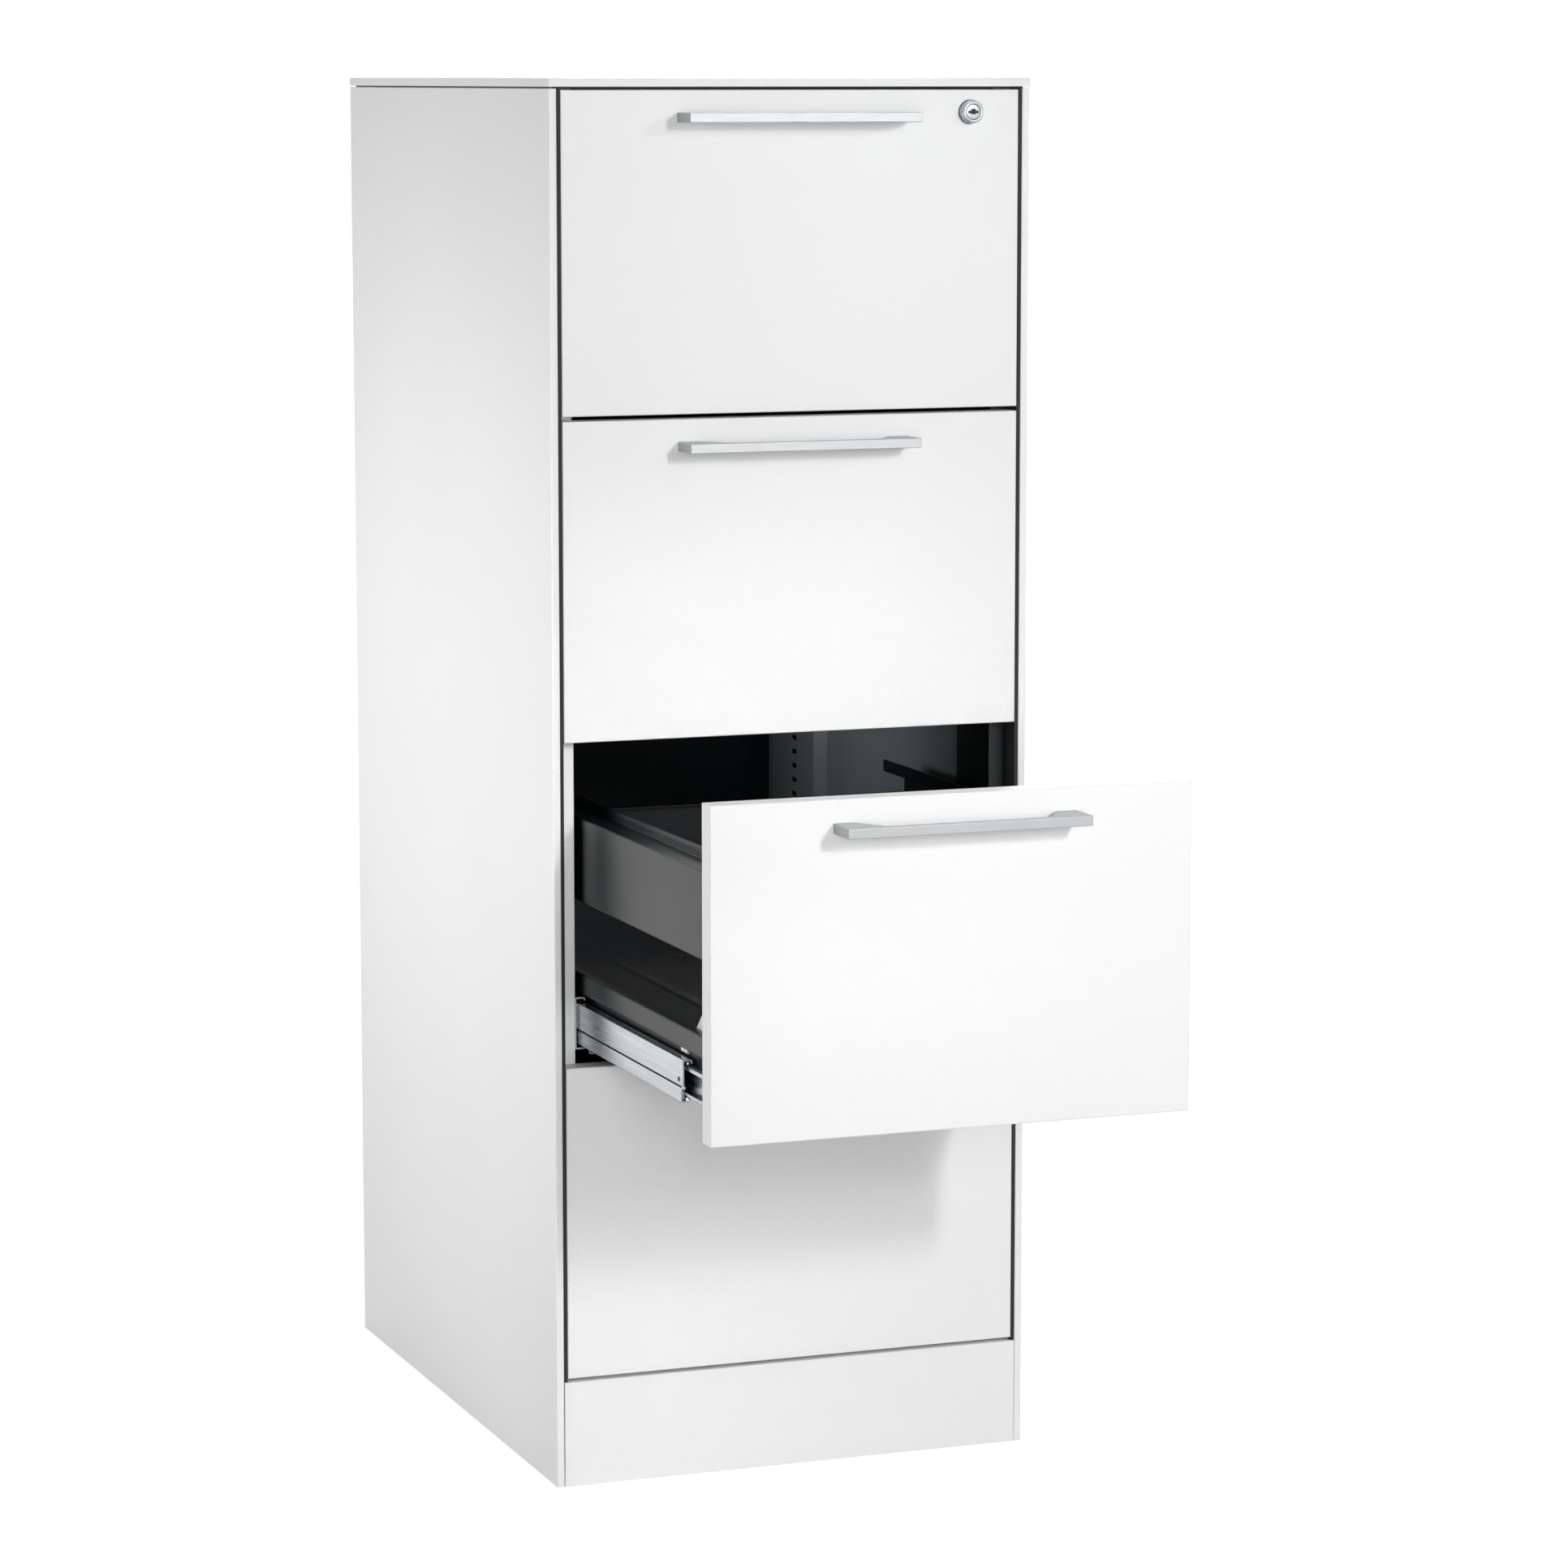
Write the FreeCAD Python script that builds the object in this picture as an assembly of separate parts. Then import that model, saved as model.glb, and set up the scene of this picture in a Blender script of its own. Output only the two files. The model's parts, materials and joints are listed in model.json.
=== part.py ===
import FreeCAD, Part
import math
import os

# Filing cabinet with four suspension-file drawers on telescopic ball slides, the third one open.
# The origin is the middle of the footprint, on the floor. +X is right, +Y the back, +Z up.
# All sizes are in millimetres.

# Driving dimensions of the whole cabinet
WIDTH = 433.0
DEPTH = 600.0
HEIGHT = 1200.0
DRAWERS = 4
DRAWER_PITCH = 275.0
OPEN_DRAWER = 3
OPEN_BY = 362.0
MIDDLE_RAIL_SHARE = 0.775

# Steel sheet
SKIN = 1.0
FOLD_RADIUS = 1.2

# Carcass
COVER_HEIGHT = 7.0
COVER_SHADOW_GAP = 1.5
HEM_WIDTH = 6.6
GROOVE_WIDTH = 3.6
SIDE_THICKNESS = 25.0
EDGE_FLANGE = 12.0
PLINTH_HEIGHT = 91.5
PLINTH_GAP = 3.0
PLINTH_SEAM = 0.5
FLOOR_PAN_TOP = 89.0
ROOF_PAN_INSET = 4.5
LINING_OFFSET = 14.5
FRONT_POST_DEPTH = 73.0
REAR_POST_START = 150.0
REAR_POST_DEPTH = 110.0
REAR_POST_SLANT = 10.0
SLOTS_PER_DRAWER = 20
SLOT_SETBACK = 46.0
SLOT_LENGTH = 13.0
SLOT_HEIGHT = 4.5
CROSSBAR_HEIGHT = 9.0
CROSSBAR_DEPTH = 17.0
FOOT_WIDTH = 30.0
FOOT_PAD = 8.0
FOOT_ROD_RADIUS = 5.0
FOOT_X = 180.0
FOOT_Y = 245.0

# Drawer fronts and handles
FRONT_GAP = 4.0
FRONT_THICKNESS = 20.0
FRONT_CLEARANCE = 1.0
HANDLE_LENGTH = 208.0
HANDLE_REACH = 34.0
HANDLE_HEIGHT = 8.0
HANDLE_BAR = 6.5
HANDLE_FOOT = 17.0
HANDLE_FLARE = 17.0
HANDLE_DROP = 23.0
HANDLE_EDGE = 0.5
SCREW_SPACING = 192.0
SCREW_HOLE = 2.2
DRIVER_OPENING = 12.0

# Drawer body, with heights counted from the lower edge of its front
DRAWER_LENGTH = 546.0
SKIRT_X = 178.8
RIM_X = 186.5
RIM_WIDTH = 9.0
SKIRT_BOTTOM = 14.0
TRAY_FLOOR = 50.0
RIM_BOTTOM = 56.0
RIM_TOP = 74.0
RIM_LIP = 8.0
BAND_BOTTOM = 135.5
BAND_TOP = 208.0
HOOK_EDGE_TOP = 218.0
HOOK_EDGE_X = 165.0
HEM_TUCK = 7.0
BACK_TOP = 188.0
BACK_FLANGE = 12.0

# Telescopic slides: u counts from the cabinet side, v from the slide's middle height
SLIDE_HEIGHT = 30.0
SLIDE_WIDTH = 12.7
SLIDE_SHEET = 1.2
CAGE_SHEET = 0.5
FIXED_HALF = 22.5
MIDDLE_HALF = 18.0
INNER_HALF = 12.5
RAIL_LENGTH = 550.0
RAIL_SETBACK = 3.0
RIVET_HOLE = 2.0
RAIL_SHORTER = 10.0
CAGE_LENGTH = 130.0
CAGE_SETBACK = 5.0
OUTER_CAGE_HALF = 19.85
INNER_CAGE_HALF = 14.9

# Lock and its locking bar
LOCK_X = 161.0
LOCK_DROP = 19.0
LOCK_RADIUS = 9.75
LOCK_REACH = 9.0
LOCK_BEVEL = 1.5
LOCK_HOLE = 10.4
PLUG_RADIUS = 6.5
PLUG_CLEARANCE = 0.05
CRANK_RADIUS = 8.0
CRANK_PIN = 2.0
CRANK_PLAY = 0.7
CAM_SQUARE = 6.0
BAR_SHEET = 2.0
BAR_X = 194.0
BAR_WIDTH = 16.0
TAB_HEIGHT = 92.0
TAB_WIDTH = 8.0
CATCH_X = 183.0

# Places worked out from the driving dimensions
HALF_WIDTH = WIDTH / 2
Y_FRONT = -DEPTH / 2
Y_BACK = DEPTH / 2
Y_STRIP = Y_FRONT + FRONT_THICKNESS + FRONT_CLEARANCE
Y_POST = Y_STRIP + SKIN
Y_INSIDE_BACK = Y_BACK - 2 * SKIN
Y_BODY = Y_FRONT + FRONT_THICKNESS
Z_COVER = HEIGHT - COVER_HEIGHT
Z_SIDE_TOP = Z_COVER - COVER_SHADOW_GAP
Z_INSIDE_TOP = Z_SIDE_TOP - SKIN
Z_FIRST_FRONT = PLINTH_HEIGHT + PLINTH_GAP
FRONT_HEIGHT = DRAWER_PITCH - FRONT_GAP
FRONT_HALF = HALF_WIDTH - HEM_WIDTH - GROOVE_WIDTH
BAY_HALF = HALF_WIDTH - SIDE_THICKNESS
LINING_X = HALF_WIDTH - LINING_OFFSET
LOCK_Z = Z_FIRST_FRONT + DRAWERS * DRAWER_PITCH - FRONT_GAP - LOCK_DROP
LOCK_TRAVEL = 2 * CRANK_RADIUS * math.sin(math.pi / 4)
Y_BRACKET = Y_STRIP + CROSSBAR_DEPTH
Y_CAM = Y_BRACKET + 6.0
Y_ARM = Y_CAM + 3.5
Y_BAR = Y_CAM + 2.0


def point(x, y, z):
    return FreeCAD.Vector(x, y, z)


def box(x0, x1, y0, y1, z0, z1):
    return Part.makeBox(x1 - x0, y1 - y0, z1 - z0, point(x0, y0, z0))


def rod(radius, x, z, y0, y1):
    """A round bar along Y."""
    return Part.makeCylinder(radius, y1 - y0, point(x, y0, z), point(0, 1, 0))


def folded(path, thickness=SKIN):
    """Closed outline of a sheet folded along a path, its thickness lying to the path's left.

    Each inner corner lies along the sum of the two left normals that meet there, which mitres it.
    """
    normals = []
    for (x0, y0), (x1, y1) in zip(path, path[1:]):
        length = math.hypot(x1 - x0, y1 - y0)
        normals.append(((y0 - y1) / length, (x1 - x0) / length))
    inner = []
    for i, (x, y) in enumerate(path):
        before = normals[max(i - 1, 0)]
        after = normals[min(i, len(normals) - 1)]
        nx = before[0] + after[0]
        ny = before[1] + after[1]
        reach = 2 * thickness / (nx * nx + ny * ny)
        inner.append((x + reach * nx, y + reach * ny))
    return path + inner[::-1]


def prism(corners, way):
    """A closed polygon of corners pushed along a vector."""
    return Part.Face(Part.makePolygon(corners + corners[:1])).extrude(way)


def upright(outline, z0, z1):
    """An outline in X and Y pushed up."""
    return prism([point(x, y, z0) for x, y in outline], point(0, 0, z1 - z0))


def lengthwise(outline, y0, y1):
    """An outline in X and Z pushed to the back."""
    return prism([point(x, y0, z) for x, z in outline], point(0, y1 - y0, 0))


def crosswise(outline, x0, x1):
    """An outline in Y and Z pushed to the right."""
    return prism([point(x0, y, z) for y, z in outline], point(x1 - x0, 0, 0))


def mirrored(shape):
    return shape.mirror(point(0, 0, 0), point(1, 0, 0))


def joined(first, *others):
    return first.fuse(list(others)).removeSplitter()


def softened(shape, radius, chosen):
    """The shape with a radius on each straight edge whose two ends pass a test."""
    edges = []
    for edge in shape.Edges:
        if len(edge.Vertexes) == 2 and chosen(edge.Vertexes[0].Point, edge.Vertexes[1].Point):
            edges.append(edge)
    return shape.makeFillet(radius, edges)


def near(a, b):
    return abs(a - b) < 1e-6


def pan(x0, x1, y0, y1, z0, z1, hollow):
    """A box of folded sheet, less the hollow box that is given."""
    return box(x0, x1, y0, y1, z0, z1).cut(box(*hollow))


def front_bottom(number):
    """Height of the lower edge of a drawer's front. The drawers are numbered from the top."""
    return Z_FIRST_FRONT + DRAWER_PITCH * (DRAWERS - number)


def save(node, *solids):
    shape = solids[0] if len(solids) == 1 else Part.makeCompound(list(solids))
    shape.exportStep("parts/" + node + ".step")


# Carcass

def top_cover():
    """Folded lid with rounded upper edges, open below."""
    lid = box(-HALF_WIDTH, HALF_WIDTH, Y_FRONT, Y_BACK, Z_COVER, HEIGHT)
    lid = softened(lid, FOLD_RADIUS, lambda a, b: near(a.z, HEIGHT) and near(b.z, HEIGHT))
    inside = box(-HALF_WIDTH + SKIN, HALF_WIDTH - SKIN, Y_FRONT + SKIN, Y_BACK - SKIN,
                 Z_COVER, HEIGHT - SKIN)
    return lid.cut(inside)


def roof_pan():
    """Shallow tray between the sides and the cover, set back to leave the dark shadow gap."""
    x = HALF_WIDTH - ROOF_PAN_INSET
    y0 = Y_FRONT + ROOF_PAN_INSET
    y1 = Y_BACK - ROOF_PAN_INSET
    top = HEIGHT - SKIN
    hollow = (-x + SKIN, x - SKIN, y0 + SKIN, y1 - SKIN, Z_SIDE_TOP + SKIN, top)
    return pan(-x, x, y0, y1, Z_SIDE_TOP, top, hollow)


def side_panel():
    """Left outer skin: rear flange, side, front hem, return, and the strip behind the fronts."""
    hem = -HALF_WIDTH + HEM_WIDTH
    path = [
        (-HALF_WIDTH + EDGE_FLANGE, Y_BACK),
        (-HALF_WIDTH, Y_BACK),
        (-HALF_WIDTH, Y_FRONT),
        (hem, Y_FRONT),
        (hem, Y_STRIP),
        (-BAY_HALF, Y_STRIP),
    ]
    skin = upright(folded(path), 0, Z_SIDE_TOP)
    x0 = -HALF_WIDTH + SKIN
    x1 = -HALF_WIDTH + EDGE_FLANGE
    panel = joined(skin, box(x0, x1, Y_POST, Y_INSIDE_BACK, Z_INSIDE_TOP, Z_SIDE_TOP))

    def is_outer_fold(a, b):
        on_outer_fold = near(a.x, -HALF_WIDTH) and (near(a.y, Y_FRONT) or near(a.y, Y_BACK))
        on_hem = near(a.x, hem) and near(a.y, Y_FRONT)
        return (on_outer_fold or on_hem) and near(a.x, b.x) and near(a.y, b.y)

    return softened(panel, FOLD_RADIUS, is_outer_fold)


def back_panel():
    return box(-HALF_WIDTH + SKIN, HALF_WIDTH - SKIN, Y_INSIDE_BACK, Y_BACK - SKIN, 2 * SKIN, Z_INSIDE_TOP)


def floor_pan():
    """Inner floor whose four flanges reach the ground and turn inwards there as a base ring."""
    x = HALF_WIDTH - SKIN
    hollow = (-x + SKIN, x - SKIN, Y_POST + SKIN, Y_INSIDE_BACK - SKIN, SKIN, FLOOR_PAN_TOP - SKIN)
    shell = pan(-x, x, Y_POST, Y_INSIDE_BACK, 0, FLOOR_PAN_TOP, hollow)
    inner = x - EDGE_FLANGE
    return shell.cut(box(-inner, inner, Y_POST + EDGE_FLANGE, Y_INSIDE_BACK - EDGE_FLANGE, 0, SKIN))


def plinth_front():
    """Plinth panel: turned-down rear lip, top flange, front face and bottom return."""
    lip = 21.5
    bottom_return = 15.0
    path = [
        (Y_STRIP, PLINTH_HEIGHT - lip),
        (Y_STRIP, PLINTH_HEIGHT),
        (Y_FRONT, PLINTH_HEIGHT),
        (Y_FRONT, 0),
        (Y_FRONT + bottom_return, 0),
    ]
    half = HALF_WIDTH - HEM_WIDTH - PLINTH_SEAM
    panel = crosswise(folded(path), -half, half)

    def is_top_fold(a, b):
        in_front = near(a.y, Y_FRONT) and near(b.y, Y_FRONT)
        return in_front and near(a.z, PLINTH_HEIGHT) and near(b.z, PLINTH_HEIGHT)

    return softened(panel, FOLD_RADIUS, is_top_fold)


def front_post():
    """Left channel behind the side panel's strip. The slides and the locking bar use it."""
    path = [
        (-LINING_X, Y_POST),
        (-BAY_HALF, Y_POST),
        (-BAY_HALF, Y_POST + FRONT_POST_DEPTH),
        (-LINING_X, Y_POST + FRONT_POST_DEPTH),
    ]
    return upright(folded(path), FLOOR_PAN_TOP, Z_INSIDE_TOP)


def post_windows():
    """Openings in the right front post for the locking bar's tabs and its upper arm."""
    margin = 1.5
    x0 = BAY_HALF - SKIN
    x1 = BAY_HALF + 2 * SKIN
    y0 = Y_BAR - TAB_WIDTH / 2 - SKIN
    y1 = Y_BAR + TAB_WIDTH / 2 + SKIN
    windows = []
    for number in range(1, DRAWERS + 1):
        top = front_bottom(number) + TAB_HEIGHT
        windows.append(box(x0, x1, y0, y1, top - BAR_SHEET - margin, top + LOCK_TRAVEL + margin))
    low, high = arm_heights()
    top = high + LOCK_TRAVEL + margin
    windows.append(box(x0, x1, Y_ARM - SKIN, Y_ARM + BAR_SHEET + SKIN, low - margin, top))
    return Part.makeCompound(windows)


def rear_post():
    """Left channel with a slanted front flange and a row of slots for the slides."""
    y0 = REAR_POST_START
    y1 = REAR_POST_START + REAR_POST_DEPTH
    path = [(-LINING_X, y0 - REAR_POST_SLANT), (-BAY_HALF, y0), (-BAY_HALF, y1), (-LINING_X, y1)]
    post = upright(folded(path), FLOOR_PAN_TOP, Z_INSIDE_TOP).cut(side_lining())
    y_slot = y0 + SLOT_SETBACK
    step = DRAWER_PITCH / SLOTS_PER_DRAWER
    slots = []
    z = FLOOR_PAN_TOP + step
    while z < Z_INSIDE_TOP - step:
        slots.append(box(-BAY_HALF - 2 * SKIN, -BAY_HALF + SKIN, y_slot, y_slot + SLOT_LENGTH,
                         z - SLOT_HEIGHT / 2, z + SLOT_HEIGHT / 2))
        z += step
    return post.cut(Part.makeCompound(slots))


def side_lining():
    """Plain inner side sheet between the posts."""
    return box(-LINING_X - SKIN, -LINING_X, Y_POST, Y_INSIDE_BACK, FLOOR_PAN_TOP, Z_INSIDE_TOP)


def front_crossbar():
    """Channel under the roof pan, open to the back."""
    low = Z_SIDE_TOP - CROSSBAR_HEIGHT
    path = [(Y_BRACKET, Z_SIDE_TOP), (Y_STRIP, Z_SIDE_TOP), (Y_STRIP, low), (Y_BRACKET, low)]
    return crosswise(folded(path), -BAY_HALF, BAY_HALF)


def levelling_feet():
    """Four six-sided pads, each with its threaded rod up to the floor pan."""
    corner = FOOT_WIDTH / math.sqrt(3)
    rod_height = FLOOR_PAN_TOP - SKIN - FOOT_PAD
    feet = []
    for x in (-FOOT_X, FOOT_X):
        for y in (-FOOT_Y, FOOT_Y):
            outline = []
            for turn in range(6):
                angle = turn * math.pi / 3
                outline.append((x + corner * math.cos(angle), y + corner * math.sin(angle)))
            pad = upright(outline, 0, FOOT_PAD)
            shaft = Part.makeCylinder(FOOT_ROD_RADIUS, rod_height, point(x, y, FOOT_PAD))
            feet.append(joined(pad, shaft))
    return feet


# Lock

def arm_heights():
    """Lower and upper edge of the locking bar's arm, unlocked, with the crank pin in its middle."""
    half = 6.0
    pin = LOCK_Z - CRANK_RADIUS * math.sin(math.pi / 4)
    return pin - half, pin + half


def lock_housing():
    """Round body with a bevelled head, the plug's bore, and a collar behind the bracket."""
    y0 = Y_FRONT - LOCK_REACH
    y1 = Y_BRACKET + BAR_SHEET
    y2 = y1 + 3.0
    body = rod(LOCK_RADIUS, LOCK_X, LOCK_Z, y0 + LOCK_BEVEL, y1)
    head = Part.makeCone(LOCK_RADIUS - LOCK_BEVEL, LOCK_RADIUS, LOCK_BEVEL,
                         point(LOCK_X, y0, LOCK_Z), point(0, 1, 0))
    collar = rod(LOCK_RADIUS + 2.25, LOCK_X, LOCK_Z, y1, y2)
    bore = rod(PLUG_RADIUS + PLUG_CLEARANCE, LOCK_X, LOCK_Z, y0 - SKIN, y2 + SKIN)
    return joined(body, head, collar).cut(bore)


def lock_bracket():
    """Plate behind the crossbar that carries the lock housing."""
    half = 20.0
    drop = 15.0
    plate = box(LOCK_X - half, LOCK_X + half, Y_BRACKET, Y_BRACKET + BAR_SHEET, LOCK_Z - drop, Z_INSIDE_TOP)
    return plate.cut(rod(LOCK_RADIUS, LOCK_X, LOCK_Z, Y_BRACKET - SKIN, Y_BRACKET + 2 * BAR_SHEET))


def lock_plug():
    """Turning plug with its stepped key slot and the square that carries the cam."""
    recess = 0.4
    slot_depth = 7.0
    tail_end = Y_CAM + 2.5
    y0 = Y_FRONT - LOCK_REACH + recess
    plug = rod(PLUG_RADIUS, LOCK_X, LOCK_Z, y0, Y_CAM)
    x0 = LOCK_X - CAM_SQUARE / 2
    z0 = LOCK_Z - CAM_SQUARE / 2
    tail = box(x0, x0 + CAM_SQUARE, Y_CAM, tail_end, z0, z0 + CAM_SQUARE)
    blade = box(LOCK_X - 4.0, LOCK_X + 4.0, y0 - SKIN, y0 + slot_depth, LOCK_Z - 1.1, LOCK_Z + 0.6)
    ridge = box(LOCK_X - 1.6, LOCK_X + 1.6, y0 - SKIN, y0 + slot_depth, LOCK_Z - 1.1, LOCK_Z + 1.9)
    return joined(plug, tail).cut(blade.fuse(ridge))


def lock_cam():
    """Disc on the plug's square, with the crank pin low on its right."""
    offset = CRANK_RADIUS * math.sin(math.pi / 4)
    rim = 3.0
    pin_end = Y_ARM + BAR_SHEET + 2.0
    disc = rod(CRANK_RADIUS + rim, LOCK_X, LOCK_Z, Y_CAM, Y_CAM + BAR_SHEET)
    pin = rod(CRANK_PIN, LOCK_X + offset, LOCK_Z - offset, Y_CAM + BAR_SHEET, pin_end)
    x0 = LOCK_X - CAM_SQUARE / 2
    z0 = LOCK_Z - CAM_SQUARE / 2
    hole = box(x0, x0 + CAM_SQUARE, Y_CAM - SKIN, Y_CAM + 2 * BAR_SHEET, z0, z0 + CAM_SQUARE)
    return joined(disc, pin).cut(hole)


def locking_bar():
    """Flat bar in the right front post, with a tab for each drawer and the arm that the cam lifts."""
    low, high = arm_heights()
    y0 = Y_BAR - BAR_WIDTH / 2
    y1 = Y_BAR + BAR_WIDTH / 2
    foot = front_bottom(DRAWERS) + TAB_HEIGHT - EDGE_FLANGE
    bar = box(BAR_X, BAR_X + BAR_SHEET, y0, y1, foot, high)
    pin_near = LOCK_X + CRANK_RADIUS * math.cos(math.pi / 4)
    pin_far = LOCK_X + CRANK_RADIUS
    pin_z = (low + high) / 2
    room = CRANK_PIN + CRANK_PLAY
    arm = box(pin_near - CRANK_RADIUS, BAR_X, Y_ARM, Y_ARM + BAR_SHEET, low, high)
    slot = box(pin_near - room, pin_far + room, Y_ARM - SKIN, Y_ARM + 2 * BAR_SHEET,
               pin_z - room, pin_z + room)
    tab_end = CATCH_X - 1.5
    tabs = []
    for number in range(1, DRAWERS + 1):
        top = front_bottom(number) + TAB_HEIGHT
        tabs.append(box(tab_end, BAR_X, Y_BAR - TAB_WIDTH / 2, Y_BAR + TAB_WIDTH / 2,
                        top - BAR_SHEET, top))
    return [bar, arm.cut(slot)] + tabs


def lock_catch(z):
    """Hook plate behind a drawer's front. Locked, the bar's tab stands in the hook's notch."""
    top = z + TAB_HEIGHT
    arm_low = top + 14.0
    arm_high = top + 22.0
    nose_low = top + 3.0
    y_nose = Y_BAR + TAB_WIDTH / 2 + 3.0
    y_end = y_nose + 7.0
    hook = [
        (Y_BODY, arm_low), (y_nose, arm_low), (y_nose, nose_low),
        (y_end, nose_low), (y_end, arm_high), (Y_BODY, arm_high),
    ]
    plate = crosswise(hook, CATCH_X, CATCH_X + BAR_SHEET)
    flange = box(CATCH_X - EDGE_FLANGE, CATCH_X + BAR_SHEET, Y_BODY, Y_BODY + BAR_SHEET, nose_low, arm_high)
    return joined(plate, flange)


# Drawers, each one built closed

def drawer_front(z, has_lock):
    """Folded pan with rounded front edges, drilled for the handle and, at the top, for the lock."""
    top = z + FRONT_HEIGHT
    panel = box(-FRONT_HALF, FRONT_HALF, Y_FRONT, Y_BODY, z, top)
    panel = softened(panel, FOLD_RADIUS, lambda a, b: near(a.y, Y_FRONT) and near(b.y, Y_FRONT))
    hollow = box(-FRONT_HALF + SKIN, FRONT_HALF - SKIN, Y_FRONT + SKIN, Y_BODY, z + SKIN, top - SKIN)
    cuts = [hollow]
    for x in (-SCREW_SPACING / 2, SCREW_SPACING / 2):
        cuts.append(rod(SCREW_HOLE, x, top - HANDLE_DROP, Y_FRONT - SKIN, Y_BODY))
    if has_lock:
        cuts.append(rod(LOCK_HOLE, LOCK_X, LOCK_Z, Y_FRONT - SKIN, Y_BODY))
    return panel.cut(cuts)


def drawer_front_back(z, has_lock):
    """Inner cover plate of a front, with square openings for a driver behind the handle's feet."""
    x = FRONT_HALF - SKIN
    top = z + FRONT_HEIGHT
    plate = box(-x, x, Y_BODY - SKIN, Y_BODY, z + SKIN, top - SKIN)
    reach = DRIVER_OPENING / 2
    middle = top - HANDLE_DROP
    cuts = []
    for screw_x in (-SCREW_SPACING / 2, SCREW_SPACING / 2):
        cuts.append(box(screw_x - reach, screw_x + reach, Y_BODY - 2 * SKIN, Y_BODY + SKIN,
                        middle - reach, middle + reach))
    if has_lock:
        cuts.append(rod(LOCK_HOLE, LOCK_X, LOCK_Z, Y_BODY - 2 * SKIN, Y_BODY + SKIN))
    return plate.cut(cuts)


def drawer_handle(z):
    """Bar with two feet whose inner sides flare into the bar."""
    end = HANDLE_LENGTH / 2
    wall = end - HANDLE_FOOT
    root = wall - HANDLE_FLARE
    y_face = Y_FRONT - HANDLE_REACH
    y_bar = y_face + HANDLE_BAR
    outline = [
        (-end, Y_FRONT), (-end, y_face), (end, y_face), (end, Y_FRONT),
        (wall, Y_FRONT), (root, y_bar), (-root, y_bar), (-wall, Y_FRONT),
    ]
    middle = z + FRONT_HEIGHT - HANDLE_DROP
    bar = upright(outline, middle - HANDLE_HEIGHT / 2, middle + HANDLE_HEIGHT / 2)

    def is_root(a, b):
        return near(abs(a.x), root) and near(a.x, b.x) and near(a.y, b.y)

    bar = softened(bar, HANDLE_HEIGHT, is_root)
    return softened(bar, HANDLE_EDGE, lambda a, b: near(a.y, y_face) and near(b.y, y_face))


def drawer_tray(z):
    """Floor, and two skirts whose upper edges are rolled into a rim over the slides."""
    y1 = Y_BODY + DRAWER_LENGTH
    inner = RIM_X - RIM_WIDTH
    path = [
        (-inner, z + RIM_TOP - RIM_LIP),
        (-inner, z + RIM_TOP),
        (-RIM_X, z + RIM_TOP),
        (-RIM_X, z + RIM_BOTTOM),
        (-SKIRT_X, z + RIM_BOTTOM),
        (-SKIRT_X, z + SKIRT_BOTTOM),
    ]
    skirt = lengthwise(folded(path), Y_BODY, y1)
    x = SKIRT_X - SKIN
    floor = box(-x, x, Y_BODY, y1, z + TRAY_FLOOR - SKIN, z + TRAY_FLOOR)
    return joined(floor, skirt, mirrored(skirt))


def file_rail(z):
    """Left side rail: hook edge for the files, shelf, deep band and its lower hem."""
    hook = HOOK_EDGE_X + SKIN
    path = [
        (-hook, z + HOOK_EDGE_TOP),
        (-hook, z + BAND_TOP),
        (-RIM_X, z + BAND_TOP),
        (-RIM_X, z + BAND_BOTTOM),
        (-RIM_X + HEM_TUCK, z + BAND_BOTTOM),
    ]
    y1 = Y_BODY + DRAWER_LENGTH
    rail = lengthwise(folded(path), Y_BODY, y1)
    hem = box(-hook - SKIN, -hook, Y_BODY, y1, z + HOOK_EDGE_TOP - 5.0, z + HOOK_EDGE_TOP)
    return joined(rail, hem)


def drawer_back(z):
    """Low back wall with a flange along its top.

    It is narrow between the slides, and again below the side rails, where it passes the locking tabs.
    """
    y0 = Y_BODY + DRAWER_LENGTH
    narrow = SKIRT_X - SKIN
    inner = RIM_X - RIM_WIDTH
    right = [
        (narrow, z + SKIRT_BOTTOM), (narrow, z + RIM_BOTTOM), (RIM_X, z + RIM_BOTTOM),
        (RIM_X, z + RIM_TOP), (inner, z + RIM_TOP), (inner, z + BAND_BOTTOM),
        (RIM_X, z + BAND_BOTTOM), (RIM_X, z + BACK_TOP),
    ]
    left = [(-x, height) for x, height in reversed(right)]
    wall = lengthwise(right + left, y0, y0 + SKIN)
    x = HOOK_EDGE_X - SKIN
    flange = box(-x, x, y0 - BACK_FLANGE, y0, z + BACK_TOP - SKIN, z + BACK_TOP)
    return joined(wall, flange)


# Slides

def rail_outline(path, z, thickness):
    """A folded outline in u and v, placed on the left wall of the bay at a drawer's slide height."""
    return [(-BAY_HALF + u, z + SLIDE_HEIGHT + v) for u, v in folded(path, thickness)]


def both_sides(solid):
    return [solid, mirrored(solid)]


def slide_fixed(z):
    """Outer channels on the posts."""
    u = SLIDE_WIDTH - 2.5
    lip = 2.7
    path = [
        (u, FIXED_HALF - lip), (u, FIXED_HALF), (0, FIXED_HALF),
        (0, -FIXED_HALF), (u, -FIXED_HALF), (u, -FIXED_HALF + lip),
    ]
    y0 = Y_STRIP + RAIL_SETBACK
    return both_sides(lengthwise(rail_outline(path, z, SLIDE_SHEET), y0, y0 + RAIL_LENGTH))


def ball_cage(z, u0, u1, half, y0):
    """Thin channel that holds the balls above and below a member."""
    path = [(u1, half), (u0, half), (u0, -half), (u1, -half)]
    return lengthwise(rail_outline(path, z, CAGE_SHEET), y0, y0 + CAGE_LENGTH)


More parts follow.
